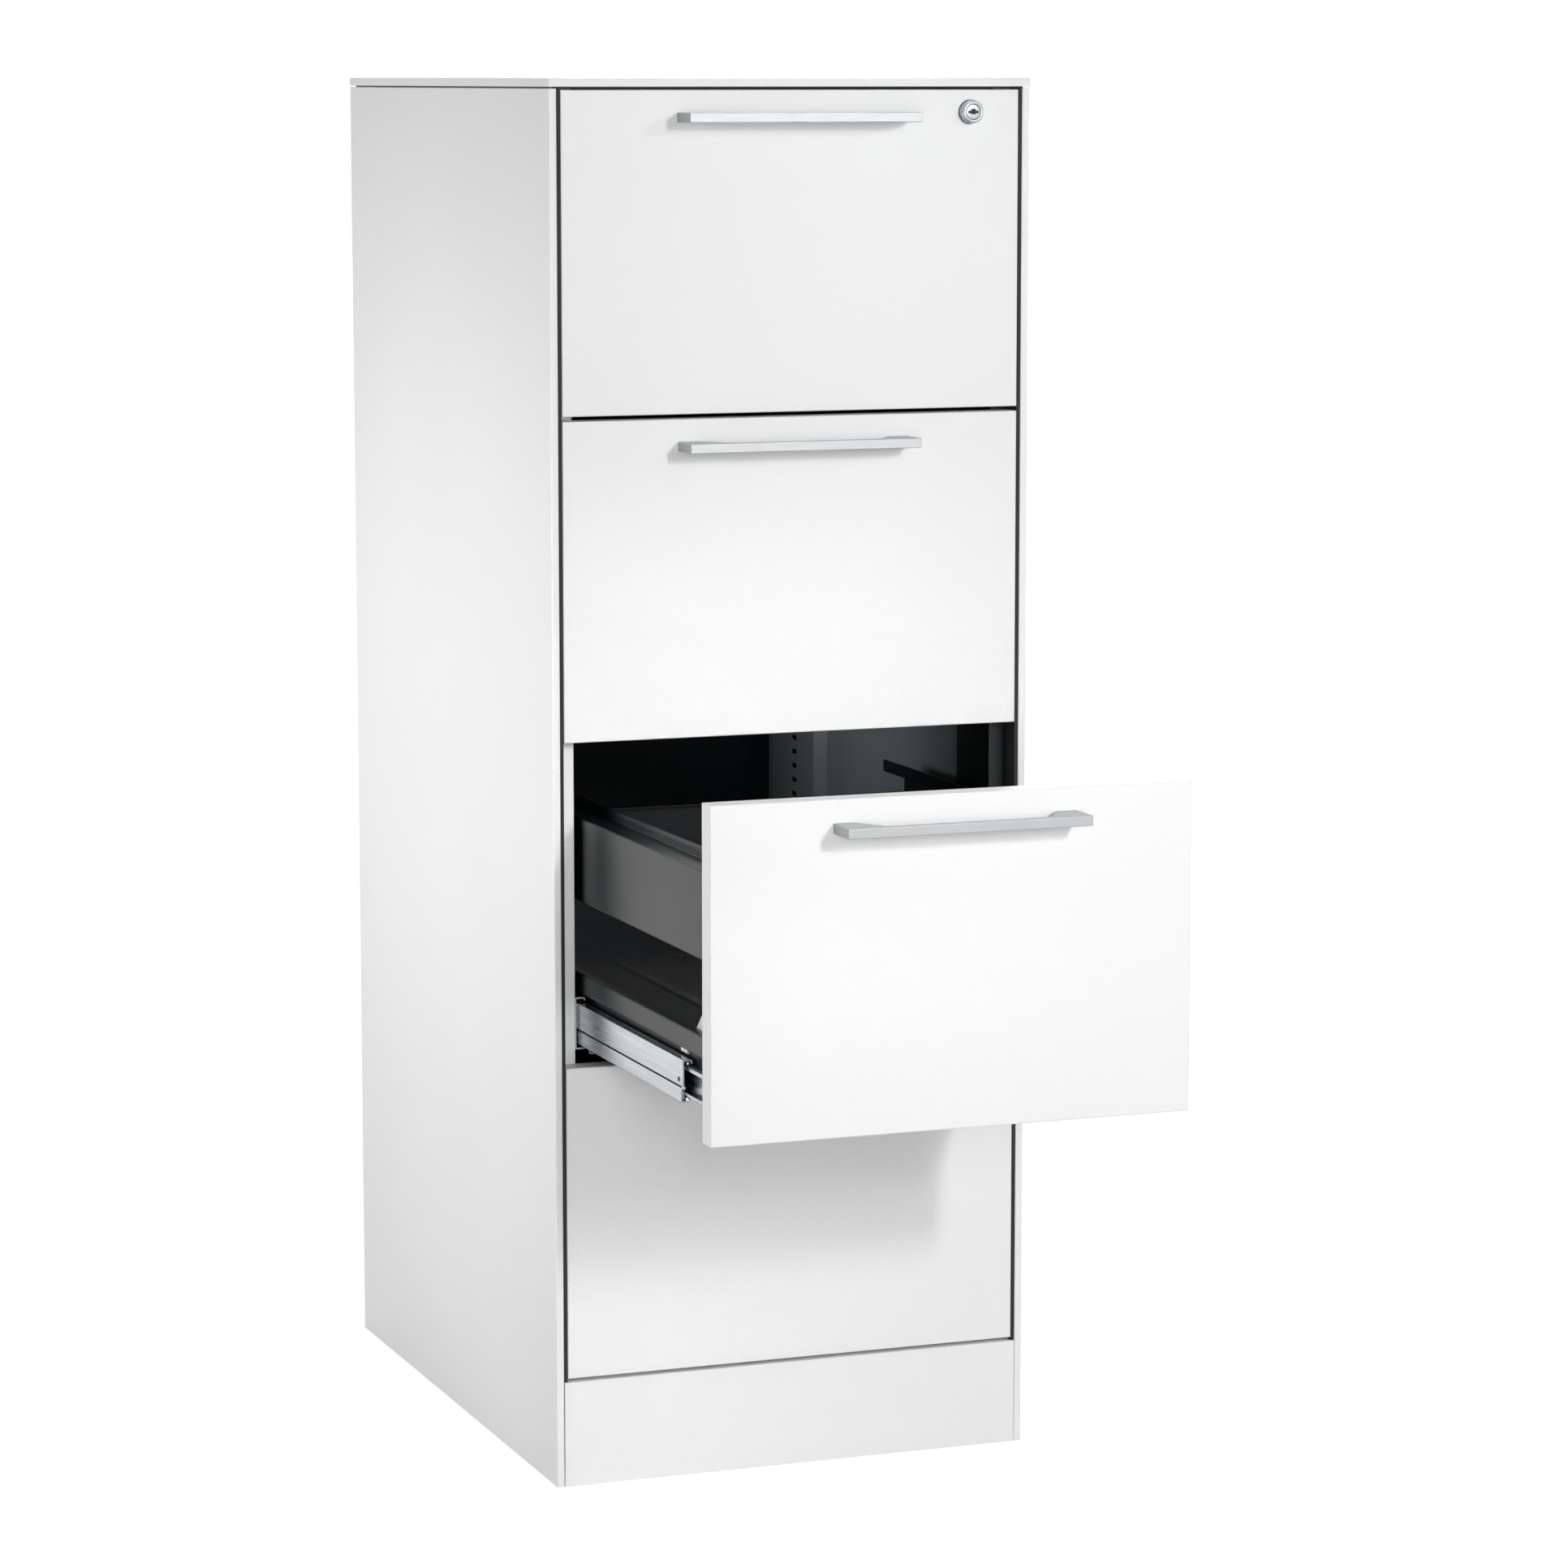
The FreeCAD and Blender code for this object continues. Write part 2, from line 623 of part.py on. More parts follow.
def slide_middle(z):
    """Middle channels, each with a pressed groove, a rivet hole and its two ball cages."""
    u0 = 2.2
    u1 = SLIDE_WIDTH - 2.1
    lip = 3.4
    groove = 0.5
    path = [
        (u1, MIDDLE_HALF - lip), (u1, MIDDLE_HALF), (u0, MIDDLE_HALF),
        (u0, -4.0), (u0 + groove, -5.0), (u0, -6.0),
        (u0, -MIDDLE_HALF), (u1, -MIDDLE_HALF), (u1, -MIDDLE_HALF + lip),
    ]
    y0 = Y_STRIP + RAIL_SETBACK + SKIN
    y1 = y0 + RAIL_LENGTH - RAIL_SHORTER
    rail = lengthwise(rail_outline(path, z, SLIDE_SHEET), y0, y1)
    centre = point(-BAY_HALF, y0 + 10.0, z + SLIDE_HEIGHT + 1.0)
    rail = rail.cut(Part.makeCylinder(RIVET_HOLE, SLIDE_WIDTH, centre, point(1, 0, 0)))
    rear = ball_cage(z, 1.45, 8.4, OUTER_CAGE_HALF, y1 - CAGE_SETBACK - CAGE_LENGTH)
    front = ball_cage(z, 4.5, 9.0, INNER_CAGE_HALF, y0 + CAGE_SETBACK)
    return both_sides(rail) + both_sides(rear) + both_sides(front)


def slide_inner(z):
    """Drawer rails on the tray's skirts."""
    u0 = 5.6
    u1 = SLIDE_WIDTH
    lip = 3.0
    path = [
        (u0, -INNER_HALF + lip), (u0, -INNER_HALF), (u1, -INNER_HALF),
        (u1, INNER_HALF), (u0, INNER_HALF), (u0, INNER_HALF - lip),
    ]
    y0 = Y_BODY + SKIN
    return both_sides(lengthwise(rail_outline(path, z, SLIDE_SHEET), y0, y0 + RAIL_LENGTH - RAIL_SHORTER))


def moved(solids, distance):
    """The solids pulled out to the front by a distance."""
    for solid in solids:
        solid.translate(point(0, -distance, 0))
    return solids


def save_carcass():
    side = side_panel()
    front = front_post()
    rear = rear_post()
    lining = side_lining()
    save("top_cover", top_cover())
    save("roof_pan", roof_pan())
    save("side_panel_left", side)
    save("side_panel_right", mirrored(side))
    save("back_panel", back_panel())
    save("floor_pan", floor_pan())
    save("plinth_front", plinth_front())
    save("front_post_left", front)
    save("front_post_right", mirrored(front).cut(post_windows()))
    save("rear_post_left", rear)
    save("rear_post_right", mirrored(rear))
    save("side_lining_left", lining)
    save("side_lining_right", mirrored(lining))
    save("front_crossbar", front_crossbar())
    save("levelling_feet", *levelling_feet())


def save_lock():
    save("lock_housing", lock_housing())
    save("lock_bracket", lock_bracket())
    save("lock_plug", lock_plug())
    save("lock_cam", lock_cam())
    save("locking_bar", *locking_bar())


def save_drawer(number):
    z = front_bottom(number)
    has_lock = number == 1
    out = OPEN_BY if number == OPEN_DRAWER else 0.0
    name = "drawer_%d_" % number
    pieces = {
        "front": [drawer_front(z, has_lock)],
        "front_back": [drawer_front_back(z, has_lock)],
        "handle": [drawer_handle(z)],
        "tray": [drawer_tray(z)],
        "file_rails": both_sides(file_rail(z)),
        "back": [drawer_back(z)],
        "lock_catch": [lock_catch(z)],
        "slide_inner": slide_inner(z),
    }
    for piece, solids in pieces.items():
        save(name + piece, *moved(solids, out))
    save(name + "slide_middle", *moved(slide_middle(z), out * MIDDLE_RAIL_SHARE))
    save(name + "slide_fixed", *slide_fixed(z))


os.makedirs("parts", exist_ok=True)
save_carcass()
save_lock()
for drawer in range(1, DRAWERS + 1):
    save_drawer(drawer)
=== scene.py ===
"""Looks of a steel filing cabinet: finishes, folded drawer bodies, ball slides, lock, trim and stage."""

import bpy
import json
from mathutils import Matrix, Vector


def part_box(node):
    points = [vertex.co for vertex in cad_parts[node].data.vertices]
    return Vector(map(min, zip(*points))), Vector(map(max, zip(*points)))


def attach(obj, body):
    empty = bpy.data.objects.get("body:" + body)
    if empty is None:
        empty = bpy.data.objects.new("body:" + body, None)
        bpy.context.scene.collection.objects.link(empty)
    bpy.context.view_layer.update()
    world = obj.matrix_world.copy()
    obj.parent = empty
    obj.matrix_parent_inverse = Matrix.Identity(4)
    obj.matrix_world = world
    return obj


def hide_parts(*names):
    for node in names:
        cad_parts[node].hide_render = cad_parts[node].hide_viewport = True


bl_info = {
    "name": "Filing Cabinet",
    "version": (1, 0, 0),
    "blender": (4, 5, 0),
    "location": "View3D > Sidebar > Cabinet",
    "description": "Dresses the packed filing cabinet: coats, slides, lock, trim, lamps and camera",
    "category": "Object",
}

import json
import math

import bmesh
import bpy
import numpy as np

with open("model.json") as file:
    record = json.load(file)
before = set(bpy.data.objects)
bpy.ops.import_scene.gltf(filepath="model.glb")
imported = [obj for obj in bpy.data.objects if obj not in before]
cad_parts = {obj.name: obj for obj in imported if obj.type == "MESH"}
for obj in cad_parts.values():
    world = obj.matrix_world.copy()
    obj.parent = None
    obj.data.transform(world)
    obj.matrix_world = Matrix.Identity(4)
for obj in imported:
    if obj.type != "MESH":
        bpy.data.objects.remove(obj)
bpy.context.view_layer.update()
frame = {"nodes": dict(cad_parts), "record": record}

MM = 0.001
DRAWERS = (1, 2, 3, 4)
GREY_NODES = ("side_lining_left", "side_lining_right", "rear_post_left", "rear_post_right")
FINISH_OF_SLOT = {
    "white_powder_coat": "white_polyester_coat",
    "anthracite_powder_coat": "anthracite_polyester_coat",
    "zinc_plated_steel": "bright_zinc_steel",
    "anodised_aluminium": "brushed_anodised_aluminium",
    "nickel_plated_brass": "polished_nickel",
    "black_nylon": "grained_black_nylon",
}
SIDES = (-1, 1)

# Sheet and slide sizes of the construction, in millimetres
SKIN = 1.0
SLIDE_SHEET = 1.2
SLIDE_DEPTH = 12.7
CAGE_SHEET = 0.5
CAGE_LENGTH = 130.0
CAGE_MARGIN = 5.0
SLIDE_HEIGHT = 30.0
CUT_END = 0.4
MIDDLE_SETBACK = 8.0
BAND_SETBACK = 6.0


def span(node, axis):
    """Lowest and highest value of a node along one axis, in millimetres."""
    low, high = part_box(node)
    return low[axis] / MM, high[axis] / MM


def front_bottom(number):
    """Height of the lower edge of a drawer's front, in millimetres."""
    return span("drawer_%d_front" % number, 2)[0]


# Colour and material tools


def linear(code):
    """Linear colour with alpha from an sRGB hex code."""
    parts = [int(code[i:i + 2], 16) / 255 for i in (1, 3, 5)]
    return [c / 12.92 if c <= 0.04045 else ((c + 0.055) / 1.055) ** 2.4 for c in parts] + [1.0]


def add(tree, kind, settings=None, inputs=None):
    """Adds one node. An input is a value, or a node with the name of its output, which gets linked."""
    made = tree.nodes.new(kind)
    for name, value in (settings or {}).items():
        setattr(made, name, value)
    for name, value in (inputs or {}).items():
        if isinstance(value, tuple) and hasattr(value[0], "outputs"):
            tree.links.new(value[0].outputs[value[1]], made.inputs[name])
        else:
            made.inputs[name].default_value = value
    return made


def new_material(name):
    """An empty node material with its output node."""
    material = bpy.data.materials.new(name)
    material.use_nodes = True
    material.node_tree.nodes.clear()
    return material, material.node_tree


def edge_mask(tree, radius_mm):
    """1 on the folds and edges within a radius, 0 on flats: how far a bevelled normal turns away."""
    bevel = add(tree, "ShaderNodeBevel", {"samples": 4}, {"Radius": radius_mm * MM})
    place = add(tree, "ShaderNodeNewGeometry")
    dot = add(tree, "ShaderNodeVectorMath", {"operation": "DOT_PRODUCT"},
              {0: (bevel, "Normal"), 1: (place, "Normal")})
    mask = add(tree, "ShaderNodeMapRange", None,
               {"Value": (dot, "Value"), "From Min": 0.98, "From Max": 0.80, "To Min": 0.0, "To Max": 1.0})
    return bevel, mask


def powder_coat(name, hex_colour, hex_cloud, hex_edge_wear_and_highlight, roughness, peel_mm, peel_height_mm, edge_mm,
                specular=0.5):
    """Baked powder coat on sheet steel: a satin skin with orange peel, paler in patches along the folds,
    partly where the coat wears thin and partly as a painted highlight.
    """
    material, tree = new_material(name)
    where = add(tree, "ShaderNodeTexCoord")
    cloud = add(tree, "ShaderNodeTexNoise", None,
                {"Vector": (where, "Object"), "Scale": 1 / (180 * MM), "Detail": 2.0, "Roughness": 0.4})
    tint = add(tree, "ShaderNodeMix", {"data_type": "RGBA"},
               {"Factor": (cloud, "Fac"), 6: linear(hex_colour), 7: linear(hex_cloud)})
    bevel, mask = edge_mask(tree, edge_mm)
    # Painted highlight, partly wear: along folds and edges the colour turns, in noisy patches, to the paler
    # edge colour.
    wear_and_highlight_noise = add(tree, "ShaderNodeTexNoise", None,
               {"Vector": (where, "Object"), "Scale": 1 / (9 * MM), "Detail": 3.0})
    edge_wear_and_highlight = add(tree, "ShaderNodeMath", {"operation": "MULTIPLY"},
                 {0: (mask, "Result"), 1: (wear_and_highlight_noise, "Fac")})
    colour = add(tree, "ShaderNodeMix", {"data_type": "RGBA"},
                 {"Factor": (edge_wear_and_highlight, "Value"), 6: (tint, 2), 7: linear(hex_edge_wear_and_highlight)})
    gloss = add(tree, "ShaderNodeMapRange", None,
                {"Value": (cloud, "Fac"), "From Min": 0.3, "From Max": 0.7,
                 "To Min": roughness - 0.03, "To Max": roughness + 0.03})
    peel = add(tree, "ShaderNodeTexNoise", None,
               {"Vector": (where, "Object"), "Scale": 1 / (peel_mm * MM), "Detail": 1.5, "Roughness": 0.4})
    bump = add(tree, "ShaderNodeBump", None,
               {"Strength": 0.35, "Distance": peel_height_mm * MM, "Height": (peel, "Fac"),
                "Normal": (bevel, "Normal")})
    shader = add(tree, "ShaderNodeBsdfPrincipled", None,
                 {"Base Color": (colour, 2), "Roughness": (gloss, "Result"), "Normal": (bump, "Normal"),
                  "IOR": 1.5, "Specular IOR Level": specular})
    add(tree, "ShaderNodeOutputMaterial", inputs={"Surface": (shader, "BSDF")})
    return material


def drawn_metal(name, hex_colour, hex_dark, roughness, grain_mm, stretch, bump_mm, edge_mm=0.4):
    """Metal with fine lines along one direction; stretch gives the share of the grain along X, Y and Z."""
    material, tree = new_material(name)
    where = add(tree, "ShaderNodeTexCoord")
    turned = add(tree, "ShaderNodeMapping", None, {"Vector": (where, "Object"), "Scale": stretch})
    grain = add(tree, "ShaderNodeTexNoise", None,
                {"Vector": (turned, "Vector"), "Scale": 1 / (grain_mm * MM), "Detail": 4.0,
                 "Roughness": 0.6})
    cloud = add(tree, "ShaderNodeTexNoise", None,
                {"Vector": (where, "Object"), "Scale": 1 / (22 * MM), "Detail": 3.0})
    bevel, mask = edge_mask(tree, edge_mm)
    lines = add(tree, "ShaderNodeMapRange", None,
                {"Value": (grain, "Fac"), "From Min": 0.35, "From Max": 0.7, "To Min": 0.0, "To Max": 0.30})
    mixed = add(tree, "ShaderNodeMath", {"operation": "MULTIPLY_ADD"},
                {0: (cloud, "Fac"), 1: 0.25, 2: (lines, "Result")})
    colour = add(tree, "ShaderNodeMix", {"data_type": "RGBA"},
                 {"Factor": (mixed, "Value"), 6: linear(hex_colour), 7: linear(hex_dark)})
    # Painted highlight: along edges and folds the colour goes back to the plain lighter tone, without the
    # darker lines.
    bright = add(tree, "ShaderNodeMix", {"data_type": "RGBA"},
                 {"Factor": (mask, "Result"), 6: (colour, 2), 7: linear(hex_colour)})
    gloss = add(tree, "ShaderNodeMapRange", None,
                {"Value": (grain, "Fac"), "From Min": 0.3, "From Max": 0.7,
                 "To Min": roughness - 0.06, "To Max": roughness + 0.08})
    bump = add(tree, "ShaderNodeBump", None,
               {"Strength": 0.4, "Distance": bump_mm * MM, "Height": (grain, "Fac"),
                "Normal": (bevel, "Normal")})
    shader = add(tree, "ShaderNodeBsdfPrincipled", None,
                 {"Base Color": (bright, 2), "Metallic": 1.0, "Roughness": (gloss, "Result"),
                  "Normal": (bump, "Normal")})
    add(tree, "ShaderNodeOutputMaterial", inputs={"Surface": (shader, "BSDF")})
    return material


def dull_skin(name, hex_colour, hex_cloud, roughness, grain_mm, bump_mm):
    """Plastic, rubber or dull oxide: one body colour with faint flow marks and a fine grain."""
    material, tree = new_material(name)
    where = add(tree, "ShaderNodeTexCoord")
    flow = add(tree, "ShaderNodeTexNoise", None,
               {"Vector": (where, "Object"), "Scale": 1 / (14 * MM), "Detail": 2.0, "Distortion": 0.6})
    grain = add(tree, "ShaderNodeTexNoise", None,
                {"Vector": (where, "Object"), "Scale": 1 / (grain_mm * MM), "Detail": 2.0})
    colour = add(tree, "ShaderNodeMix", {"data_type": "RGBA"},
                 {"Factor": (flow, "Fac"), 6: linear(hex_colour), 7: linear(hex_cloud)})
    bevel, _ = edge_mask(tree, 0.3)
    bump = add(tree, "ShaderNodeBump", None,
               {"Strength": 0.5, "Distance": bump_mm * MM, "Height": (grain, "Fac"),
                "Normal": (bevel, "Normal")})
    gloss = add(tree, "ShaderNodeMapRange", None,
                {"Value": (flow, "Fac"), "To Min": roughness - 0.05, "To Max": roughness + 0.05})
    shader = add(tree, "ShaderNodeBsdfPrincipled", None,
                 {"Base Color": (colour, 2), "Roughness": (gloss, "Result"), "Normal": (bump, "Normal"),
                  "IOR": 1.46})
    add(tree, "ShaderNodeOutputMaterial", inputs={"Surface": (shader, "BSDF")})
    return material


# Shape tools


def left_of(ways):
    """Unit vectors turned a quarter turn to the left."""
    return np.stack([-ways[..., 1], ways[..., 0]], axis=-1)


def rounded_line(corners, radius, steps=5):
    """Points and left normals of a polyline whose corners are arcs.

    An arc starts radius times tan(half the turn) before its corner, and its centre lies one radius to
    the inside of the bend. Angles along it run evenly from one leg's direction to the next one's.
    """
    corners = np.array(corners, float)
    legs = np.diff(corners, axis=0)
    ways = legs / np.linalg.norm(legs, axis=1)[:, None]
    angles = np.arctan2(ways[:, 1], ways[:, 0])
    turns = (np.diff(angles) + math.pi) % (2 * math.pi) - math.pi
    starts = corners[1:-1] - ways[:-1] * (radius * np.abs(np.tan(turns / 2)))[:, None]
    inside = np.sign(turns)[:, None]
    centres = starts + left_of(ways[:-1]) * radius * inside
    share = np.linspace(0, 1, steps + 1)
    arc_angles = angles[:-1, None] + turns[:, None] * share
    normals = left_of(np.stack([np.cos(arc_angles), np.sin(arc_angles)], axis=-1))
    arcs = centres[:, None, :] - normals * radius * inside[:, None, :]
    points = np.concatenate([corners[:1], arcs.reshape(-1, 2), corners[-1:]])
    sides = np.concatenate([left_of(ways[:1]), normals.reshape(-1, 2), left_of(ways[-1:])])
    return points, sides


def mitred(corners, distance):
    """The polyline moved to its left; each corner moves along the sum of its two left normals."""
    corners = np.array(corners, float)
    legs = np.diff(corners, axis=0)
    normals = left_of(legs / np.linalg.norm(legs, axis=1)[:, None])
    before = np.concatenate([normals[:1], normals])
    after = np.concatenate([normals, normals[-1:]])
    way = before + after
    return corners + way * (2 * distance / (way ** 2).sum(axis=1))[:, None]


def folded_sheet(corners, thickness, start, end, radius=1.4, slices=2):
    """Sheet folded along corners in X and Z, its thickness on their left, pushed from start to end in Y.

    The middle line is the corners moved half a thickness to the left and rounded. The two faces lie
    half a thickness to each side of it, and both are carried along Y as one closed ring.
    """
    points, normals = rounded_line(mitred(corners, thickness / 2), radius)
    ring = np.concatenate([points + normals * thickness / 2, (points - normals * thickness / 2)[::-1]])
    half = len(points)
    ys = np.linspace(start, end, slices)
    verts = np.zeros((slices, len(ring), 3))
    verts[:, :, 0] = ring[:, 0]
    verts[:, :, 1] = ys[:, None]
    verts[:, :, 2] = ring[:, 1]
    walls = grid_faces(slices, len(ring), closed=True)
    index = np.arange(half - 1)
    cap = np.stack([index, index + 1, 2 * half - 2 - index, 2 * half - 1 - index], axis=1)
    last = (slices - 1) * len(ring)
    return verts.reshape(-1, 3), np.concatenate([walls, cap, cap[:, ::-1] + last])


def grid_faces(rows, columns, closed=False):
    """Quads of a grid of rows by columns, whose columns may close on themselves."""
    steps = columns if closed else columns - 1
    row, column = np.meshgrid(np.arange(rows - 1), np.arange(steps), indexing="ij")
    after = (column + 1) % columns
    quads = [row * columns + column, row * columns + after, (row + 1) * columns + after,
             (row + 1) * columns + column]
    return np.stack([q.ravel() for q in quads], axis=1)


def turned_body(profile, centre, segments=40, way=(0, -1, 0)):
    """Profile of radius and height turned round an axis.

    Ring i holds centre + way * height + radius * (cos t * side + sin t * up). A radius of zero at an
    end is a pole, which the merge of doubles closes.
    """
    profile = np.array(profile, float)
    way = np.array(way, float)
    side = np.array([0, 0, 1.0]) if abs(way[2]) < 0.5 else np.array([1.0, 0, 0])
    up = np.cross(way, side)
    angle = np.linspace(0, 2 * math.pi, segments, endpoint=False)
    ring = np.cos(angle)[:, None] * side + np.sin(angle)[:, None] * up
    verts = np.array(centre) + profile[:, 1, None, None] * way + profile[:, 0, None, None] * ring
    return verts.reshape(-1, 3), grid_faces(len(profile), segments, closed=True)


def ball_profile(radius, rings=7):
    """Radius and height along one ball: the latitude runs evenly, and each pole has no radius."""
    latitude = np.linspace(-math.pi / 2, math.pi / 2, rings)
    return np.stack([np.cos(latitude) * radius, np.sin(latitude) * radius], axis=1)


def repeated(verts, faces, places):
    """The same small mesh at several places, as one mesh."""
    places = np.array(places, float)
    many = verts[None, :, :] + places[:, None, :]
    shift = np.arange(len(places))[:, None, None] * len(verts)
    return many.reshape(-1, 3), (faces[None, :, :] + shift).reshape(-1, faces.shape[1])


def joined(*parts):
    """Several meshes as one."""
    verts = np.concatenate([p[0] for p in parts])
    starts = np.cumsum([0] + [len(p[0]) for p in parts[:-1]])
    faces = [[int(i) + int(start) for i in face] for part, start in zip(parts, starts) for face in part[1]]
    return verts, faces


def mirrored(part):
    """The mesh on the other side of the middle plane, with its faces turned round."""
    verts = np.array(part[0]) * [-1, 1, 1]
    return verts, [list(face)[::-1] for face in part[1]]


def block(x, y, z, cut=0.0):
    """A plate or bar with its edges along Y cut at 45 degrees."""
    x0, x1 = x
    z0, z1 = z
    outline = [(x0 + cut, z0), (x1 - cut, z0), (x1, z0 + cut), (x1, z1 - cut),
               (x1 - cut, z1), (x0 + cut, z1), (x0, z1 - cut), (x0, z0 + cut)]
    if cut == 0:
        outline = [(x0, z0), (x1, z0), (x1, z1), (x0, z1)]
    return pushed(outline, y[0], y[1])


def pushed(outline, start, end):
    """A closed outline in X and Z pushed along Y, with flat ends."""
    outline = np.array(outline, float)
    count = len(outline)
    verts = np.zeros((2, count, 3))
    verts[:, :, 0] = outline[:, 0]
    verts[:, :, 2] = outline[:, 1]
    verts[0, :, 1] = start
    verts[1, :, 1] = end
    walls = grid_faces(2, count, closed=True).tolist()
    ends = [list(range(count))[::-1], list(range(count, 2 * count))]
    return verts.reshape(-1, 3), walls + ends


def piece(name, part, material, body, replaces=(), smooth=32):
    """Makes the object from a mesh in millimetres, closes its seams, turns its faces out and rides it."""
    verts, faces = part
    mesh = bpy.data.meshes.new(name)
    mesh.from_pydata((np.array(verts) * MM).tolist(), [], [[int(i) for i in face] for face in faces])
    work = bmesh.new()
    work.from_mesh(mesh)
    bmesh.ops.remove_doubles(work, verts=work.verts, dist=1e-6)
    bmesh.ops.dissolve_degenerate(work, edges=work.edges, dist=1e-7)
    bmesh.ops.recalc_face_normals(work, faces=work.faces)
    work.to_mesh(mesh)
    work.free()
    mesh.shade_smooth()
    mesh.set_sharp_from_angle(angle=math.radians(smooth))
    mesh.materials.append(material)
    made = bpy.data.objects.new(name, mesh)
    bpy.context.scene.collection.objects.link(made)
    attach(made, body)
    if replaces:
        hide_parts(*replaces)
    return made


def material_named(name):
    """A finish made by the operator that mixes the finishes."""
    found = bpy.data.materials.get(name)
    if found is None:
        raise RuntimeError("The finish %s is missing: mix the finishes first" % name)
    return found


# Settings that a user would change


class FinishSettings(bpy.types.PropertyGroup):
    """Gloss of the coats and metals."""

    white_roughness: bpy.props.FloatProperty(
        name="White coat roughness", description="Roughness of the white powder coat",
        default=0.36, min=0, max=1)
    dark_roughness: bpy.props.FloatProperty(
        name="Dark coat roughness", description="Roughness of the dark powder coats",
        default=0.33, min=0, max=1)
    zinc_roughness: bpy.props.FloatProperty(
        name="Zinc roughness", description="Roughness of the zinc-plated rails",
        default=0.26, min=0, max=1)


class SlideSettings(bpy.types.PropertyGroup):
    """Sizes of the telescopic slides, in metres."""

    ball_outer: bpy.props.FloatProperty(
        name="Outer ball radius", description="Balls between fixed and middle rail", default=1.55 * MM,
        unit="LENGTH", precision=5)
    ball_inner: bpy.props.FloatProperty(
        name="Inner ball radius", description="Balls between middle and drawer rail", default=1.95 * MM,
        unit="LENGTH", precision=5)
    ball_pitch: bpy.props.FloatProperty(
        name="Ball pitch", description="Distance between the balls of a cage", default=10 * MM,
        unit="LENGTH", precision=5)


class StageSettings(bpy.types.PropertyGroup):
    """Camera and lamps."""

    camera_place: bpy.props.FloatVectorProperty(
        name="Camera place", description="Where the camera stands", default=(-1.5215, -4.304, 1.202),
        subtype="TRANSLATION", unit="LENGTH")
    camera_tilt: bpy.props.FloatProperty(
        name="Camera tilt", description="Angle from straight down", default=math.radians(82.0),
        subtype="ANGLE", unit="ROTATION")
    camera_turn: bpy.props.FloatProperty(
        name="Camera turn", description="Turn round the vertical", default=math.radians(-20.70),
        subtype="ANGLE", unit="ROTATION")
    camera_lens: bpy.props.FloatProperty(
        name="Lens", description="Focal length in millimetres", default=115.7)
    ambient: bpy.props.FloatProperty(
        name="Ambient", description="Light of the white room", default=0.15, min=0)
    lamp_power: bpy.props.FloatProperty(
        name="Lamp power", description="Share of the lamps' usual power", default=1.0, min=0)


class CabinetSettings(bpy.types.PropertyGroup):
    """All the settings of the cabinet."""

    finish: bpy.props.PointerProperty(type=FinishSettings)
    slide: bpy.props.PointerProperty(type=SlideSettings)
    stage: bpy.props.PointerProperty(type=StageSettings)


# Operators


